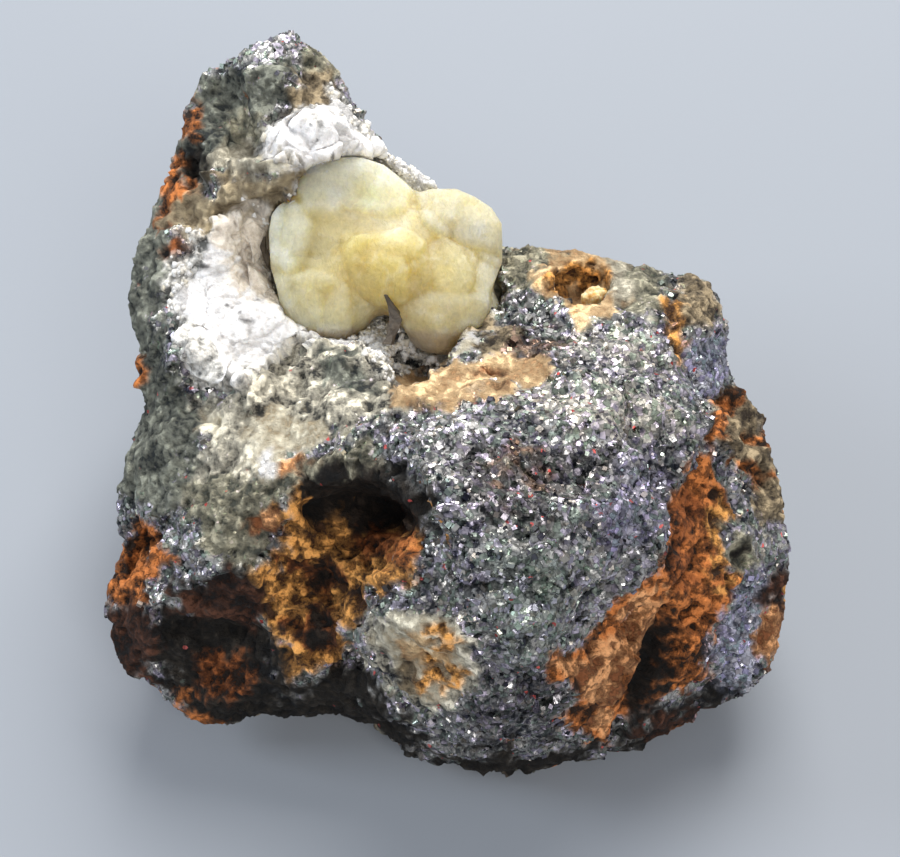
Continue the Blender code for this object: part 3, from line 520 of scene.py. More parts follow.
def way_to(corners, x, y):
    """The way on the picture plane from each place to the nearest one on a line, as (across, up)."""
    nearest = np.full(len(x), np.inf)
    way = np.zeros((2, len(x)))
    for (ax, ay), (bx, by) in zip(corners, corners[1:]):
        along = (x - ax) * (bx - ax) + (y - ay) * (by - ay)
        t = np.clip(along / ((bx - ax) ** 2 + (by - ay) ** 2), 0.0, 1.0)
        side = np.stack([ax + t * (bx - ax) - x, ay + t * (by - ay) - y])
        distance = np.hypot(*side)
        closer = distance < nearest
        nearest[closer] = distance[closer]
        way[:, closer] = side[:, closer]
    return way


def line_distance(line, x, y):
    """How far each place is from a line."""
    return np.hypot(*way_to(places(line), x, y))


def outline_depth(outline, x, y):
    """How far inside an outline each place is, under 0 outside it."""
    corners = places(outline, closed=True)
    inside = np.zeros(len(x), bool)
    for (ax, ay), (bx, by) in zip(corners, corners[1:]):
        crosses = (ay > y) != (by > y)
        inside ^= crosses & (x < ax + (y - ay) / ((by - ay) or 1.0) * (bx - ax))
    distance = np.hypot(*way_to(corners, x, y))
    return np.where(inside, distance, -distance)


def blend(fields, share, finish):
    """Lays a finish over the fields by the given share."""
    for key, value in zip(FIELDS, FINISHES[finish]):
        if key in ("light", "dark"):
            fields[key] = mixed(fields[key], linear(value), share)
        else:
            fields[key] = fields[key] * (1.0 - share) + value * share


def finish_fields(points, normals):
    """The finish at each point, as an array for each of its fields."""
    count = len(points)
    fields = {key: np.zeros((count, 3) if key in ("light", "dark") else count) for key in FIELDS}
    blend(fields, np.ones(count), "galena")
    hidden = smoothstep(0.12, -0.1, normals @ TOWARD)
    for finish, size, low, seed in HIDDEN_FINISHES:
        blend(fields, hidden * smoothstep(low, low + 0.1, fractal(points, size, 4, seed)), finish)
    across, up, _ = read(points)
    x = across + 0.7 * noise(points, 2.6, 50) + 0.3 * noise(points, 1.0, 51)
    y = up + 0.7 * noise(points, 2.6, 52) + 0.3 * noise(points, 1.0, 53)
    fray = 0.7 * noise(points, 1.8, 54) + 0.55 * noise(points, 0.8, 55) + 0.4 * noise(points, 0.45, 56)
    for finish, outline in PATCHES:
        edge = FINISHES[finish][-1]
        corners = np.array(places(outline))
        low, high = corners.min(0) - PATCH_REACH, corners.max(0) + PATCH_REACH
        near = np.flatnonzero((x > low[0]) & (x < high[0]) & (y > low[1]) & (y < high[1]) & (hidden < 1.0))
        if not len(near):
            continue
        depth = outline_depth(outline, x[near], y[near]) + edge * fray[near]
        share = np.zeros(count)
        share[near] = smoothstep(-0.4 * edge, 0.4 * edge, depth)
        blend(fields, share * (1.0 - hidden), finish)
    return fields


def cavity_of(points, fields, pitted, broken, gap):
    """How much of a finish's dark colour shows at each point: its own patches, and painted shade in pits, in
    gaps between chips and on low chips.
    """
    swing = 0.3 + 0.3 * fields["sponge"]
    patchy = 0.36 + swing * fractal(points, 2.6, 3, 110)
    patchy += 0.3 * fields["metal"] * fractal(points, 6.0, 2, 113)
    edges = 0.3 * gap - 0.3 * np.clip(broken, -0.6, 0.6)
    return patchy + fields["sponge"] * (pitted - 0.3) + fields["grain"] * edges


def object_from(name, verts, faces):
    mesh = bpy.data.meshes.new(name)
    mesh.from_pydata((np.asarray(verts) * MM).tolist(), [], faces)
    obj = bpy.data.objects.new(name, mesh)
    bpy.context.scene.collection.objects.link(obj)
    return obj


def part_from(name, points, faces):
    """A new object of some of a mesh's four-sided faces, and which of the mesh's points it has."""
    used, faces = np.unique(faces, return_inverse=True)
    return object_from(name, points[used], faces.reshape(-1, 4).tolist()), used


def values_of(items, key, width, kind=float):
    """One property of all of a mesh's items, a row for each."""
    flat = np.empty(len(items) * width, kind)
    items.foreach_get(key, flat)
    return flat.reshape(-1, width)


def coordinates(mesh):
    """The mesh's points in millimetres."""
    return values_of(mesh.vertices, "co", 3) / MM


def normals_of(mesh):
    return values_of(mesh.vertex_normals, "vector", 3)


def edges_of(mesh):
    return values_of(mesh.edges, "vertices", 2, np.int64)


def faces_of(mesh):
    return [tuple(face.vertices) for face in mesh.polygons]


def set_coordinates(mesh, points):
    mesh.vertices.foreach_set("co", (points * MM).ravel())
    mesh.update()


def set_attribute(mesh, name, values):
    """Stores a number or a colour for each point, for the materials to read."""
    if np.ndim(values) == 2:
        rgba = np.ones((len(values), 4))
        rgba[:, :3] = values
        mesh.attributes.new(name, "FLOAT_COLOR", "POINT").data.foreach_set("color", rgba.ravel())
    else:
        mesh.attributes.new(name, "FLOAT", "POINT").data.foreach_set("value", np.asarray(values, float))


def shade_smooth(mesh):
    mesh.polygons.foreach_set("use_smooth", [True] * len(mesh.polygons))


def remeshed(source, step, name):
    """A new object with an even fine grain over the shape of a CAD node, its points in order of place."""
    work = bpy.data.objects.new("work", source.data.copy())
    bpy.context.scene.collection.objects.link(work)
    modifier = work.modifiers.new("Even grain", "REMESH")
    modifier.mode = "VOXEL"
    modifier.voxel_size = step * MM
    bpy.context.view_layer.update()
    graph = bpy.context.evaluated_depsgraph_get()
    mesh = bpy.data.meshes.new_from_object(work.evaluated_get(graph))
    bpy.data.objects.remove(work, do_unlink=True)
    points = coordinates(mesh)
    order = np.lexsort(np.round(points, 4).T)
    rank = np.empty(len(points), int)
    rank[order] = np.arange(len(points))
    faces = []
    for face in faces_of(mesh):
        corners = [int(rank[v]) for v in face]
        first = corners.index(min(corners))
        faces.append(corners[first:] + corners[:first])
    bpy.data.meshes.remove(mesh)
    return object_from(name, points[order], sorted(faces))


def smoothed(values, edges, rounds):
    """The values after each has moved half way to the mean of its neighbours, a number of times."""
    count, width = values.shape
    start, end = np.concatenate([edges, edges[:, ::-1]]).T
    degree = np.maximum(np.bincount(start, minlength=count), 1)[:, None]
    for _ in range(rounds):
        sums = [np.bincount(start, weights=values[end, column], minlength=count) for column in range(width)]
        values = 0.5 * values + 0.5 * np.stack(sums, 1) / degree
    return values


def tree_of(obj):
    """The object's surface in millimetres, for finding places on it."""
    return BVHTree.FromPolygons([v.co / MM for v in obj.data.vertices], faces_of(obj.data))


class Nodes:
    """A short way to write a material's nodes."""

    def __init__(self, name):
        self.material = bpy.data.materials.new(name)
        self.material.use_nodes = True
        self.tree = self.material.node_tree
        self.shader = self.tree.nodes["Principled BSDF"]

    def add(self, kind, inputs=(), output=0, **settings):
        node = self.tree.nodes.new("ShaderNode" + kind)
        for key, value in settings.items():
            setattr(node, key, value)
        for key, value in dict(inputs).items():
            self.plug(node, key, value)
        return node.outputs[output]

    def plug(self, node, key, value):
        if isinstance(value, bpy.types.NodeSocket):
            self.tree.links.new(value, node.inputs[key])
        else:
            node.inputs[key].default_value = value

    def set(self, **inputs):
        """Sets the shader's own sockets, named with an underline for each space."""
        for key, value in inputs.items():
            self.plug(self.shader, key.replace("_", " "), value)

    def math(self, operation, a, b, clamp=False):
        return self.add("Math", {0: a, 1: b}, operation=operation, use_clamp=clamp)

    def vector(self, operation, a, b=(0, 0, 0)):
        return self.add("VectorMath", {0: a, 1: b}, operation=operation)

    def scaled(self, a, factor):
        """A way made longer or shorter, or a colour made lighter or darker."""
        return self.add("VectorMath", {0: a, "Scale": factor}, operation="SCALE")

    def centred(self, colour, reach):
        """A random colour as a random way that reaches half as far to either side on each axis."""
        return self.scaled(self.vector("SUBTRACT", colour, (0.5, 0.5, 0.5)), reach)

    def mix(self, factor, a, b, blend="MIX"):
        return self.add("Mix", {0: factor, 6: a, 7: b}, 2, data_type="RGBA", blend_type=blend)

    def mix_value(self, factor, a, b):
        return self.add("Mix", {0: factor, 2: a, 3: b})

    def range(self, value, low, high, to_low=0.0, to_high=1.0):
        return self.add("MapRange", {0: value, 1: low, 2: high, 3: to_low, 4: to_high})

    def place(self):
        return self.add("TexCoord", output=3)

    def noise(self, size, detail=3.0, roughness=0.5, output=0, place=None):
        inputs = {"Vector": place or self.place(), "Scale": 1.0 / (size * MM), "Detail": detail}
        return self.add("TexNoise", inputs | {"Roughness": roughness}, output)

    def cells(self, size, output, feature="F1", place=None):
        inputs = {"Vector": place or self.place(), "Scale": 1.0 / (size * MM)}
        return self.add("TexVoronoi", inputs, output, feature=feature)

    def channel(self, colour, index):
        return self.add("SeparateColor", {0: colour}, index)

    def attribute(self, name, output=0):
        return self.add("Attribute", output=output, attribute_name=name)

    def bump(self, height, distance, strength=1.0):
        return self.add("Bump", {"Height": height, "Distance": distance * MM, "Strength": strength})


def mixed_colour(n):
    """A finish's two colours mixed in fine patches, with painted shade in spongy pits, and the share of the
    dark one.
    """
    fine = n.range(n.noise(0.6, 5.0, 0.7), 0.34, 0.66, -0.42, 0.42)
    middle = n.range(n.noise(1.7, 2.0, 0.6), 0.36, 0.64, -0.32, 0.32)
    # painted shade: spongy finishes darken in small pits, which the materials' bumps also sink
    pit = n.range(n.noise(1.0, 6.0, 0.75), 0.42, 0.6, -0.4, 0.5)
    pit = n.math("MULTIPLY", pit, n.attribute("sponge", 2))
    patchy = n.math("ADD", n.attribute("cavity", 2), fine)
    share = n.math("ADD", patchy, n.math("ADD", middle, pit), clamp=True)
    return n.mix(share, n.attribute("light"), n.attribute("dark")), share


def rock_material():
    """Granular galena where the metal attribute is high, earthy or powdery mineral elsewhere."""
    n = Nodes("galena_rock")
    tint, share = mixed_colour(n)
    place = n.vector("ADD", n.place(), n.centred(n.noise(0.9, 2.0, output=1), 0.0005))
    grain = n.cells(GRAIN_SIZE, 1, place=place)
    small = n.cells(SMALL_GRAIN_SIZE, 1, place=place)
    gap = n.cells(GRAIN_SIZE, 0, "DISTANCE_TO_EDGE", place=place)
    grain_number = n.channel(grain, 0)
    small_number = n.channel(small, 1)
    hue = n.channel(grain, 2)

    ragged = n.math("ADD", n.attribute("metal", 2), n.range(n.noise(1.6, 3.0), 0.3, 0.7, -0.2, 0.2))
    ragged = n.math("ADD", ragged, n.range(small_number, 0.0, 1.0, -0.32, 0.2))
    is_metal = n.range(ragged, 0.44, 0.54)

    violet = n.mix(n.range(hue, 0.7, 0.85), (1, 1, 1, 1), (1.0, 0.93, 1.18, 1))
    cast = n.mix(n.range(hue, 0.3, 0.15), violet, (0.88, 1.04, 0.94, 1))
    grey = n.scaled(n.mix(1.0, tint, cast, "MULTIPLY"), n.range(grain_number, 0.0, 1.0, 0.5, 1.7))
    red = n.mix(n.range(small_number, 0.995, 0.997), grey, (0.5, 0.09, 0.08, 1))
    # painted shade: the grains darken to near black in the narrow gaps between them
    metal_colour = n.mix(n.range(gap, 0.0, 0.08, 0.6, 0.0), red, (0.02, 0.02, 0.022, 1))

    speck = n.noise(0.3, 4.0, 0.65)
    colour = n.mix(is_metal, n.scaled(tint, n.range(speck, 0.3, 0.7, 0.72, 1.25)), metal_colour)

    facet = n.vector("ADD", n.add("NewGeometry", output=1), n.centred(grain, 1.3))
    facet = n.vector("ADD", facet, n.centred(small, 0.6))
    height = n.math("SUBTRACT", n.math("MULTIPLY", n.noise(0.16, 3.0), 0.4), share)
    earth_part = n.scaled(n.bump(height, 0.42), n.math("SUBTRACT", 1.0, is_metal))
    metal_rough = n.range(small_number, 0.0, 1.0, 0.16, 0.6)
    n.set(
        Base_Color=colour,
        Metallic=n.math("MULTIPLY", is_metal, n.range(grain_number, 0.35, 0.65, 0.1, 0.95)),
        Roughness=n.mix_value(is_metal, n.range(speck, 0.3, 0.7, 0.95, 0.75), metal_rough),
        Normal=n.vector("NORMALIZE", n.vector("ADD", n.scaled(facet, is_metal), earth_part)),
        Specular_IOR_Level=0.3,
    )
    return n.material


def grain_material():
    """Flat cleavage faces of single galena grains."""
    n = Nodes("galena_grains")
    rough = n.range(n.noise(0.3, 3.0), 0.35, 0.65, 0.2, 0.55)
    n.set(Base_Color=n.attribute("tone"), Metallic=0.85, Roughness=rough)
    return n.material


def powder_material():
    """A sugary powder, lit softly from inside."""
    n = Nodes("white_crust")
    tint, share = mixed_colour(n)
    sugar = n.range(n.channel(n.cells(SMALL_GRAIN_SIZE, 1), 0), 0.0, 1.0, 0.93, 1.03)
    height = n.math("SUBTRACT", n.noise(0.35, 4.0, 0.6), n.math("MULTIPLY", share, 0.5))
    n.set(Base_Color=n.scaled(tint, sugar), Roughness=0.7, Normal=n.bump(height, 0.22))
    n.set(Subsurface_Weight=0.3, Subsurface_Radius=(1.0, 0.9, 0.8), Subsurface_Scale=0.001)
    return n.material


def crystal_material():
    """Cloudy pale yellow crystal that light goes deep into, with a dull waxy surface."""
    n = Nodes("leadhillite")
    place = n.vector("ADD", n.place(), n.centred(n.noise(2.0, 3.0, output=1), 0.002))
    cloud = n.range(n.noise(2.4, 4.0, 0.6), 0.3, 0.7, 0.9, 1.08)
    veil = n.range(n.noise(0.5, 5.0, 0.7), 0.32, 0.68, 0.86, 1.1)
    growth = n.range(n.channel(n.cells(GROWTH_SIZE, 1, place=place), 0), 0.0, 1.0, 0.9, 1.06)
    colour = n.scaled(n.attribute("tint"), n.math("MULTIPLY", n.math("MULTIPLY", cloud, veil), growth))
    seam = n.range(n.cells(GROWTH_SIZE, 0, "DISTANCE_TO_EDGE", place=place), 0.0, 0.1, 0.2, 0.0)
    seam = n.math("MULTIPLY", seam, n.range(n.noise(1.6, 2.0), 0.42, 0.6))
    colour = n.mix(seam, colour, (0.86, 0.82, 0.66, 1))
    brushed = n.noise(0.3, 3.0, 0.6, place=n.vector("MULTIPLY", place, (1.0, 0.25, 0.2)))
    height = n.math("ADD", n.noise(0.8, 5.0, 0.6), brushed)
    n.set(Base_Color=n.scaled(colour, n.range(brushed, 0.3, 0.7, 0.94, 1.05)))
    n.set(Normal=n.bump(height, 0.35, 0.9))
    n.set(Roughness=0.45, IOR=1.7, Transmission_Weight=0.2, Specular_IOR_Level=0.25)
    n.set(Subsurface_Weight=1.0, Subsurface_Radius=(1.0, 0.86, 0.5), Subsurface_Scale=0.011)
    return n.material


def nodule_material():
    """A dull honey yellow grain with paler patches."""
    n = Nodes("amber_nodule")
    light, dark = ((*linear(c), 1.0) for c in ((236, 216, 168), (204, 154, 78)))
    n.set(Base_Color=n.mix(n.range(n.noise(0.8, 4.0, 0.6), 0.38, 0.6), dark, light), Roughness=0.5)
    n.set(Normal=n.bump(n.noise(0.35, 4.0), 0.3, 0.8))
    n.set(Subsurface_Weight=0.4, Subsurface_Radius=(1.0, 0.7, 0.35), Subsurface_Scale=0.001)
    return n.material


def splinter_material():
    n = Nodes("dark_splinter")
    tone = n.mix(n.noise(0.5, 4.0, 0.6), (0.012, 0.01, 0.008, 1), (0.12, 0.09, 0.06, 1))
    n.set(Base_Color=tone, Roughness=0.6, Normal=n.bump(n.noise(0.3, 4.0), 0.2, 0.8))
    return n.material


def fine_rock(node, crystals):
    """The stone with strokes, chips, pits and knobs modelled on it, and its finish at each point."""
    rock = remeshed(node, ROCK_STEP, "galena_stone")
    mesh = rock.data
    points = smoothed(coordinates(mesh), edges_of(mesh), 4)
    set_coordinates(mesh, points)
    normals = normals_of(mesh)
    across, up, _ = read(points)
    sculpted = np.zeros(len(points))
    for line, width, rise in STROKES:
        sculpted += rise * smoothstep(width, 0.0, line_distance(line, across, up))
    sculpted *= smoothstep(-0.1, 0.12, normals @ TOWARD)
    fields = finish_fields(points, normals)
    points = points + normals * sculpted[:, None]

    bend = wander(points, 2.4, 20) * 0.5
    big, _ = chips(points + bend, 3.0, 30)
    small, gap = chips(points + bend, 1.2, 40)
    broken = 0.5 * big + 0.6 * small - 0.2 * gap
    large_pits, small_pits = pits(points + bend, 2.1, 90), pits(points + bend, 0.95, 94)
    rough = fractal(points, 1.4, 3, 97)
    sponge = 0.25 - 0.95 * large_pits - 0.45 * small_pits + 0.3 * rough
    lumps = 0.3 * knobs(points + bend, 1.5, 100) + 0.2 * knobs(points, 0.7, 104) - 0.2 + 0.2 * rough
    height = fields["grain"] * broken + fields["sponge"] * sponge + fields["lumps"] * lumps
    height = np.clip(height + 0.12 * rough, DEEPEST, HIGHEST)
    set_coordinates(mesh, drawn_back(points + normals * height[:, None], crystals))
    fields["cavity"] = cavity_of(points, fields, 0.75 * large_pits + 0.5 * small_pits, broken, gap)
    shade_smooth(mesh)
    return rock, fields


def halves(rock, fields):
    """The stone's mesh as two pieces that meet exactly, each with few enough faces for one piece."""
    normals = normals_of(rock.data)
    points = coordinates(rock.data)
    faces = np.array(faces_of(rock.data))
    _, _, out = read(points[faces].mean(1))
    in_front = out > np.median(out)
    made = []
    for part, chosen in (("front", in_front), ("back", ~in_front)):
        piece, used = part_from(f"galena_stone_{part}", points, faces[chosen])
        for key in ("light", "dark", "cavity", "sponge", "metal"):
            set_attribute(piece.data, key, fields[key][used])
        shade_smooth(piece.data)
        piece.data.normals_split_custom_set_from_vertices(normals[used].tolist())
        made.append(piece)
    bpy.data.objects.remove(rock, do_unlink=True)
    return made


def keep_inside(obj, low, high):
    """Draws back what would stand outside the CAD model's box."""
    set_coordinates(obj.data, np.clip(coordinates(obj.data), low, high))


def scattered_blocks(name, rock, chance, count, box, sizes, sink, lean):
    """Small blocks set into the stone: each leans by chance and is sunk by a share of its size.

    Returned with them is the point of the stone that each block stands on.
    """
    points, normals = coordinates(rock.data), normals_of(rock.data)
    corners = np.array(list(np.ndindex(2, 2, 2))) - 0.5
    sides = [(0, 1, 3, 2), (4, 6, 7, 5), (0, 4, 5, 1), (2, 3, 7, 6), (0, 2, 6, 4), (1, 5, 7, 3)]
    verts, faces, kept = [], [], []
    for index in rng.choice(len(points), count, replace=False, p=chance / chance.sum()):
        size = sizes[0] + (sizes[1] - sizes[0]) * rng.random() ** 3.0
        stretch = 1.0 + 0.5 * rng.random(3)
        upward = Vector(normals[index] + lean * rng.normal(size=3)).normalized()
        turn = upward.to_track_quat("Z", "Y").to_matrix() @ Matrix.Rotation(rng.random() * 6.3, 3, "Z")
        block = (corners * stretch * size) @ np.array(turn).T
        block += points[index] - normals[index] * size * (sink + 0.15 * rng.random())
        if (block < box[0]).any() or (block > box[1]).any():
            continue
        faces += [tuple(len(verts) + c for c in side) for side in sides]
        verts += block.tolist()
        kept.append(index)
    return object_from(name, verts, faces), np.array(kept)


def galena_grains(rock, fields, box):
    """Single grains of galena, flat faces that stand a little proud of the stone."""
    chance = np.clip(fields["metal"] - 0.3, 0.0, 1.0) ** 1.5
    grains, kept = scattered_blocks(
        "galena_grains", rock, chance, GALENA_GRAINS, box, sizes=(0.18, 0.46), sink=0.42, lean=0.25
    )
    shade = np.clip(fields["cavity"][kept] + 0.35 * rng.normal(size=len(kept)), 0.0, 1.0)
    tones = mixed(fields["light"][kept], fields["dark"][kept], shade)
    tones = tones * np.array(GRAIN_CASTS)[rng.integers(4, size=len(kept))]
    tones = tones * (0.5 + 0.7 * rng.random((len(kept), 1)))
    set_attribute(grains.data, "tone", np.repeat(tones, 8, axis=0))
    return grains


def sugar_grains(rock, fields, box):
    """Single white grains on the powdery parts."""
    powdery = np.clip(fields["powder"] - 0.55, 0.0, 1.0) * fields["sponge"]
    chance = powdery * np.clip(1.0 - fields["cavity"], 0.0, 1.0) ** 2
    grains, kept = scattered_blocks(
        "sugar_grains", rock, chance, SUGAR_GRAINS, box, sizes=(0.2, 0.5), sink=0.15, lean=0.8
    )
    tints = mixed(linear((252, 250, 247)), linear((222, 212, 190)), rng.random(len(kept)) ** 2)
    tints = np.repeat(tints, 8, axis=0)
    set_attribute(grains.data, "light", tints)
    set_attribute(grains.data, "dark", 0.8 * tints)
    set_attribute(grains.data, "cavity", np.full(len(tints), 0.2))
    set_attribute(grains.data, "sponge", np.zeros(len(tints)))
    shade_smooth(grains.data)
    return grains


def crust_reach(crust_node, points, normals):
    """Whether the CAD crust is near each of the stone's points, 0 or 1, and how far it rises over them."""
    tree = tree_of(crust_node)
    low, high = (np.array(c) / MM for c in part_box(crust_node.name))
    near, rise = np.zeros((2, len(points)))
    for i in np.flatnonzero(((points > low - 2.5) & (points < high + 2.5)).all(1)):
        point, normal = Vector(points[i]), Vector(normals[i])
        start = point - normal * 0.6
        for _ in range(4):
            hit = tree.ray_cast(start, normal, 4.0)[0]
            if hit is None:
                break
            rise[i] = max(rise[i], (hit - point).dot(normal))
            start = hit + normal * 0.02
        gap = tree.find_nearest(point, 4.0)[3]
        near[i] = gap is not None and gap < 1.3
    return near, rise


def crust_skin(name, mesh, points, carried):
    """The stone's faces near a crust as a finer mesh, and the values that its points carry over."""
    near = carried["near"]
    faces = np.array([face for face in faces_of(mesh) if min(near[v] for v in face) > 0.05])
    sheet, used = part_from(name, points, faces)
    for key, values in carried.items():
        set_attribute(sheet.data, key, values[used])
    work = bmesh.new()
    work.from_mesh(sheet.data)
    bmesh.ops.subdivide_edges(work, edges=work.edges, cuts=1, use_grid_fill=True)
    work.to_mesh(sheet.data)
    work.free()
    return sheet, {key: np.array([d.value for d in sheet.data.attributes[key].data]) for key in carried}


def crust_sheet(name, rock, crust_node, crystals, relief):
    """A powdery crust with broken flats of the given height.

    It leaves the stone's surface at its rim and rises to the CAD crust's outer side.
    """
    edges = edges_of(rock.data)
    points = smoothed(coordinates(rock.data), edges, 4)
    normals = smoothed(normals_of(rock.data), edges, 10)
    near, rise = smoothed(np.stack(crust_reach(crust_node, points, normals), 1), edges, 12).T
    carried = {"near": near, "rise": rise} | {f"out_{axis}": normals[:, axis] for axis in range(3)}
    sheet, carried = crust_skin(name, rock.data, points, carried)
    mesh = sheet.data
    points = coordinates(mesh)
    outward = np.stack([carried[f"out_{axis}"] for axis in range(3)], 1)
    outward /= np.linalg.norm(outward, axis=1, keepdims=True) + 1e-9
    across, up, _ = read(points)
    fields = finish_fields(points, outward)
    cover = smoothstep(0.1, 0.95, carried["near"]) * smoothstep(0.15, 0.6, fields["powder"])
    cover *= smoothstep(0.5, -0.3, outline_depth(CRYSTAL_OUTLINE, across, up))
    flats, seams = chips(points + 0.5 * wander(points, 2.0, 190), 1.9, 193)
    lumps = 0.35 * fractal(points, 2.4, 3, 149) + relief * (flats - 0.3 * seams)
    lumps += 0.2 * fractal(points, 0.7, 2, 145)
    holes = smoothstep(0.25, 0.5, fractal(points, 1.6, 2, 142)) * (0.3 + 0.7 * fields["sponge"])
    sugary = fields["sponge"] * pits(points, 1.3, 170)
    recess = smoothstep(3.6, 0.4, line_distance(CRUST_RECESS, across, up))
    height = 0.4 + 0.85 * carried["rise"] + lumps - 0.6 * holes - 0.5 * sugary - 0.5 * recess
    height = cover * height - 0.5
    points = points + outward * np.minimum(height, carried["rise"] + 0.4)[:, None]
    set_coordinates(mesh, drawn_back(points, crystals))
    specks = smoothstep(0.62, 0.8, noise(points, 0.7, 196)) * smoothstep(0.0, 0.4, noise(points, 3.0, 197))
    for key in ("light", "dark"):
        set_attribute(mesh, key, fields[key] * (1.0 - 0.75 * specks[:, None]))
    # painted shade: the crust's dark colour shows more in the seams between flats, in holes and in sugary
    # pits, and less on the flats
    patchy = 0.25 + 0.4 * fractal(points, 2.4, 3, 143) + relief * (0.4 * seams - 0.5 * flats)
    set_attribute(mesh, "cavity", patchy + 0.3 * holes + 0.9 * sugary)
    set_attribute(mesh, "sponge", 0.6 * fields["sponge"])
    shade_smooth(mesh)
    return sheet


def drawn_back(points, crystals):
    """The points, where those that would hide the crystals lie just behind the crystals' surface."""
    across, up, _ = read(points)
    x = across + 0.25 * noise(points, 1.2, 180)
    y = up + 0.25 * noise(points, 1.2, 181)
    share = smoothstep(-0.35, 0.1, outline_depth(CRYSTAL_OUTLINE, x, y))
    points = points.copy()
    for i in np.flatnonzero(share > 0.0):
        aim = Vector(points[i] - EYE).normalized()
        hit = crystals.ray_cast(Vector(points[i]), aim, 8.0)[0]
        if hit is not None:
            points[i] += (np.array(hit + aim * 0.6) - points[i]) * share[i]
    return points


def bridged(points, facing):
    """How far each point lies behind a surface that the camera sees bridge the hollows between the lobes."""
    across, up, out = read(points)
    column = ((across - across.min()) / BRIDGE_CELL).astype(int) + BRIDGE_REACH
    row = ((up - up.min()) / BRIDGE_CELL).astype(int) + BRIDGE_REACH
    height = np.full((column.max() + BRIDGE_REACH + 1, row.max() + BRIDGE_REACH + 1), -np.inf)
    seen = facing > 0.0
    np.maximum.at(height, (column[seen], row[seen]), out[seen])
    reach = range(-BRIDGE_REACH, BRIDGE_REACH + 1)
    disc = [(i, j) for i in reach for j in reach if i * i + j * j <= BRIDGE_REACH**2]
    widest = np.max([np.roll(height, shift, (0, 1)) for shift in disc], axis=0)
    bridge = np.min([np.roll(widest, shift, (0, 1)) for shift in disc], axis=0)
    behind = bridge[column, row] - out
    return np.where(np.isfinite(behind), np.clip(behind, 0.0, BRIDGE_MOST), 0.0)


def drawn_inside(points):
    """The points, where those outside the upper part of the crystals' outline are brought back to it."""
    across, up, _ = read(points)
    outside = outline_depth(CRYSTAL_OUTLINE, across, up) < 0
    share = 0.9 * outside * smoothstep(11.5, 14.0, up)
    right, upward = (way_to(places(CRYSTAL_OUTLINE, closed=True), across, up) * share)[:, :, None]
    return points + RIGHT * right + UP * upward


def crystal_tint(points, tint, rims):
    """The plates' own tint with the deeper middle, darker rims, painted shade at the foot, and veils,
    painted shadows and a painted highlight in it.
    """
    across, up, _ = read(points)
    middle = np.exp(-(((across + 7.5) / 6.5) ** 2 + ((up - 15.4) / 5.0) ** 2))
    deep = 0.6 * middle + 0.12 * rims + 0.25 * noise(points, 2.6, 152) + 0.12 * noise(points, 1.1, 182)
    tint = mixed(tint, linear((200, 176, 98)), np.clip(deep, 0.0, 1.0))
    # painted shade at the foot: the tint turns tan-grey along the cluster's lower edge
    tint = mixed(tint, linear((196, 178, 148)), smoothstep(10.2, 9.3, up + 0.5 * noise(points, 2.0, 153)))
    x = across + 0.6 * noise(points, 1.4, 183)
    y = up + 0.6 * noise(points, 1.4, 184)
    for place, radius, colour, share in CRYSTAL_VEILS_AND_PAINTED_LIGHT:
        shown = share * np.exp(-((x - place[0]) ** 2 + (y - place[1]) ** 2) / radius**2)
        tint = mixed(tint, linear(colour), shown)
    return tint


def fine_crystals(node):
    """The crystals as soft overlapping plates, drawn over the narrow gap that the solids keep."""
    crystals = remeshed(node, CRYSTAL_STEP, "leadhillite_cluster")
    mesh = crystals.data
    edges = edges_of(mesh)
    points = smoothed(coordinates(mesh), edges, 4)
    set_coordinates(mesh, points)
    facing = smoothstep(0.0, 0.3, normals_of(mesh) @ TOWARD)
    lift = smoothed((0.95 * facing * bridged(points, facing))[:, None], edges, 40)
    points = smoothed(points + TOWARD * lift, edges, 50)
    set_coordinates(mesh, points)

    normals = normals_of(mesh)
    facing = smoothstep(0.0, 0.3, normals @ TOWARD)
    across, up, _ = read(points)
    faces, _ = chips(points + 0.8 * wander(points, 4.0, 154), 5.5, 157)
    small_faces, _ = chips(points, 2.4, 164)
    raised = 0.28 * faces + 0.16 * small_faces
    rims = np.zeros(len(points))
    tint = np.ones((len(points), 3)) * linear((218, 206, 158))
    x = across + 0.3 * noise(points, 1.5, 167)
    y = up + 0.3 * noise(points, 1.5, 168)
    for outline, rise, colour in CRYSTAL_PLATES:
        depth = outline_depth(outline, x, y)
        raised += rise * facing * smoothstep(-0.15, 0.25, depth)
        rims = np.maximum(rims, np.exp(-(((depth + 0.2) / 0.35) ** 2)) * facing)
        tint = mixed(tint, linear(colour), 0.85 * smoothstep(-0.7, 0.7, depth))
    forward = FORWARD_BY * smoothstep(4.0, 1.0, line_distance(FORWARD_EDGE, across, up))
    points = smoothed(points + normals * raised[:, None] + TOWARD * forward[:, None], edges, 1)
    set_coordinates(mesh, points)

    swell = 0.25 + 0.1 * noise(points, 3.5, 150)
    points = smoothed(drawn_inside(points + normals_of(mesh) * swell[:, None]), edges, 1)
    set_coordinates(mesh, points)
    set_attribute(mesh, "tint", crystal_tint(points, tint, rims))
    shade_smooth(mesh)
    return crystals


def fine_nodule(node):
    """The small grain in the upper right pit, with knobs on it."""
    nodule = remeshed(node, NODULE_STEP, "amber_grain")
    mesh = nodule.data
    points = smoothed(coordinates(mesh), edges_of(mesh), 4)
    set_coordinates(mesh, points)
    bumps = 0.35 * knobs(points, 1.1, 160) + 0.1 * fractal(points, 0.6, 2, 161)
    set_coordinates(mesh, points + normals_of(mesh) * bumps[:, None])
    shade_smooth(mesh)
    return nodule


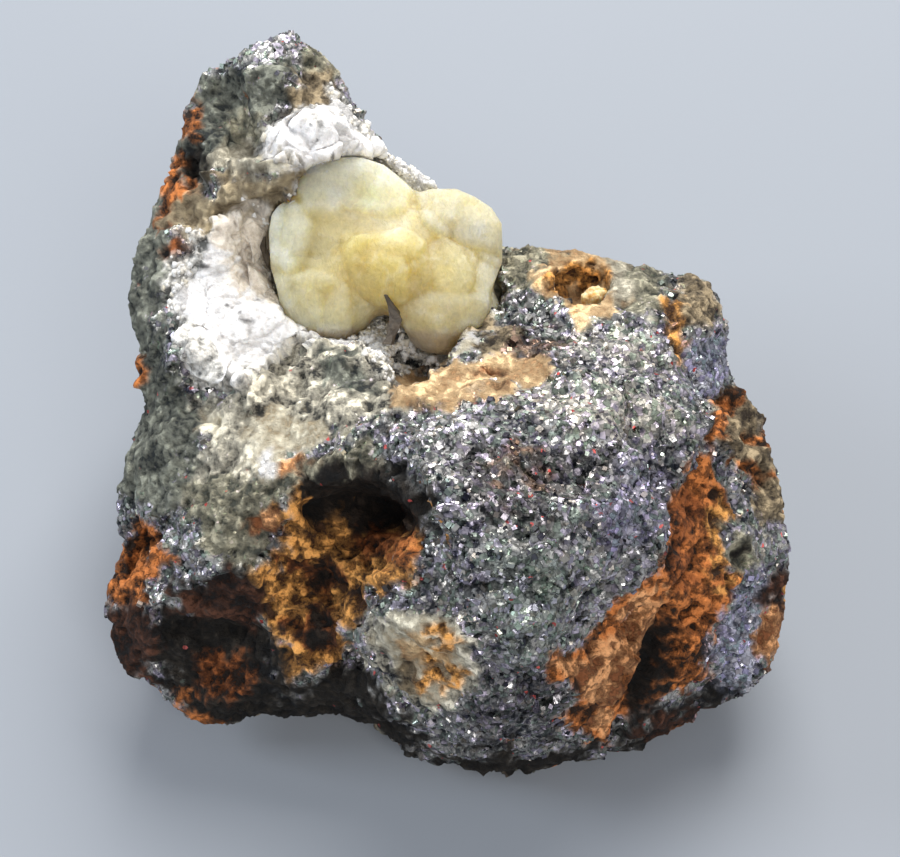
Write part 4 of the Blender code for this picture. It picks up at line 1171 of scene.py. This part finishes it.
def first_seen(trees, across, up):
    """Where the camera's line through a place on the picture plane first meets the specimen."""
    eye = Vector(EYE)
    aim = (Vector(PLANE_CENTRE + RIGHT * across + UP * up) - eye).normalized()
    hits = [hit for hit in (tree.ray_cast(eye, aim)[0] for tree in trees) if hit is not None]
    return np.array(min(hits, key=lambda hit: (hit - eye).length))


def splinter(name, line, trees):
    """A thin dark splinter that lies on what the camera sees along a line of places, each with its width."""
    seen = np.array([first_seen(trees, across, up) for across, up, _ in line])
    _, _, out = read(seen)
    lifted = np.maximum(out, out.max() - SPLINTER_LEAN) + SPLINTER_LIFT
    middles = EYE + (seen - EYE) * ((VIEW_DISTANCE - lifted) / (VIEW_DISTANCE - out))[:, None]
    rings, faces = [], []
    for i, (middle, (_, _, width)) in enumerate(zip(middles, line)):
        for side in range(6):
            angle = math.radians(60 * side + 17 * i)
            reach = width * 0.6 * (0.5 + rng.random())
            rings.append(middle + RIGHT * math.cos(angle) * reach + TOWARD * math.sin(angle) * reach * 0.6)
    for i in range(len(line) - 1):
        for side in range(6):
            a, b = 6 * i + side, 6 * i + (side + 1) % 6
            faces.append((a, b, b + 6, a + 6))
    faces += [tuple(range(5, -1, -1)), tuple(range(len(rings) - 6, len(rings)))]
    made = object_from(name, rings, faces)
    bevel = made.modifiers.new("Soft edges", "BEVEL")
    bevel.width = 0.08 * MM
    bevel.segments = 2
    return made


def add_camera():
    data = bpy.data.cameras.new("camera")
    data.sensor_width = SENSOR_WIDTH
    data.lens = SENSOR_WIDTH * VIEW_DISTANCE / PICTURE_WIDTH
    data.clip_start = 0.01
    camera = bpy.data.objects.new("camera", data)
    turn = Matrix([RIGHT, UP, TOWARD]).transposed()
    camera.matrix_world = Matrix.Translation(EYE * MM) @ turn.to_4x4()
    bpy.context.scene.collection.objects.link(camera)
    bpy.context.scene.camera = camera


def add_light(name, direction, distance, size, power, colour):
    """A soft square lamp that looks at the specimen from a direction, in metres and watts."""
    data = bpy.data.lights.new(name, "AREA")
    data.size = size
    data.energy = power
    data.color = colour
    lamp = bpy.data.objects.new(name, data)
    way = Vector(direction).normalized()
    turn = way.to_track_quat("Z", "Y").to_matrix().to_4x4()
    lamp.matrix_world = Matrix.Translation(Vector((0, 0, 0.02)) + way * distance) @ turn
    bpy.context.scene.collection.objects.link(lamp)


def add_studio():
    """Soft daylight from the window side, a pale sky and a plain pale floor."""
    scene = bpy.context.scene
    world = bpy.data.worlds.new("studio")
    world.use_nodes = True
    sky = world.node_tree.nodes["Background"]
    sky.inputs["Color"].default_value = (0.80, 0.85, 0.95, 1)
    sky.inputs["Strength"].default_value = 0.42
    scene.world = world
    scene.view_settings.view_transform = "Standard"
    add_light("window", (0.15, 0.75, 1.0), 0.6, 0.4, 6.0, (1.0, 0.98, 0.95))
    add_light("left_window", (-0.95, 0.05, 0.6), 0.55, 0.2, 1.5, (0.85, 0.92, 1.0))
    add_light("front_fill", (0.35, -1.0, 0.9), 0.6, 0.3, 2.1, (1.0, 0.98, 0.95))
    corners = [(-1, -1, 0), (1, -1, 0), (1, 1, 0), (-1, 1, 0)]
    floor = object_from("floor", np.array(corners) * FLOOR_HALF, [(0, 1, 2, 3)])
    n = Nodes("pale_floor")
    n.set(Base_Color=(0.25, 0.27, 0.30, 1), Roughness=0.9)
    floor.data.materials.append(n.material)


def main():
    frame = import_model()
    cad_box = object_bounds()
    box = [np.array(c) / MM for c in cad_box]
    nodes = frame["nodes"]

    crystals = fine_crystals(nodes["leadhillite_crystals"])
    crystal_tree = tree_of(crystals)
    rock, fields = fine_rock(nodes["galena_matrix"], crystal_tree)
    keep_inside(rock, *box)
    nodule = fine_nodule(nodes["amber_nodule"])
    trees = [tree_of(rock), crystal_tree]
    splinters = [splinter(name, line, trees) for name, line in SPLINTERS.items()]
    grains = galena_grains(rock, fields, box)
    sugar = sugar_grains(rock, fields, box)
    crusts = []
    for node, relief in CRUST_RELIEF.items():
        sheet = crust_sheet(node.replace("white", "powder"), rock, nodes[node], crystal_tree, relief)
        keep_inside(sheet, *box)
        crusts.append((sheet, node))

    powder, stone, dark = powder_material(), rock_material(), splinter_material()
    dressed = [
        (crystals, "leadhillite_crystals", "leadhillite", crystal_material()),
        (nodule, "amber_nodule", "amber_nodule", nodule_material()),
    ]
    dressed += [(sheet, node, "white_crust", powder) for sheet, node in crusts]
    dressed += [(half, "galena_matrix", "galena_rock", stone) for half in halves(rock, fields)]
    dressed += [(grains, None, "galena_rock", grain_material()), (sugar, None, "white_crust", powder)]
    dressed += [(piece, None, "galena_rock", dark) for piece in splinters]
    for piece, node, slot, material in dressed:
        piece.data.materials.append(material)
        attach(piece, "root")
        if node:
            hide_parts(node)

    add_camera()
    add_studio()


main()
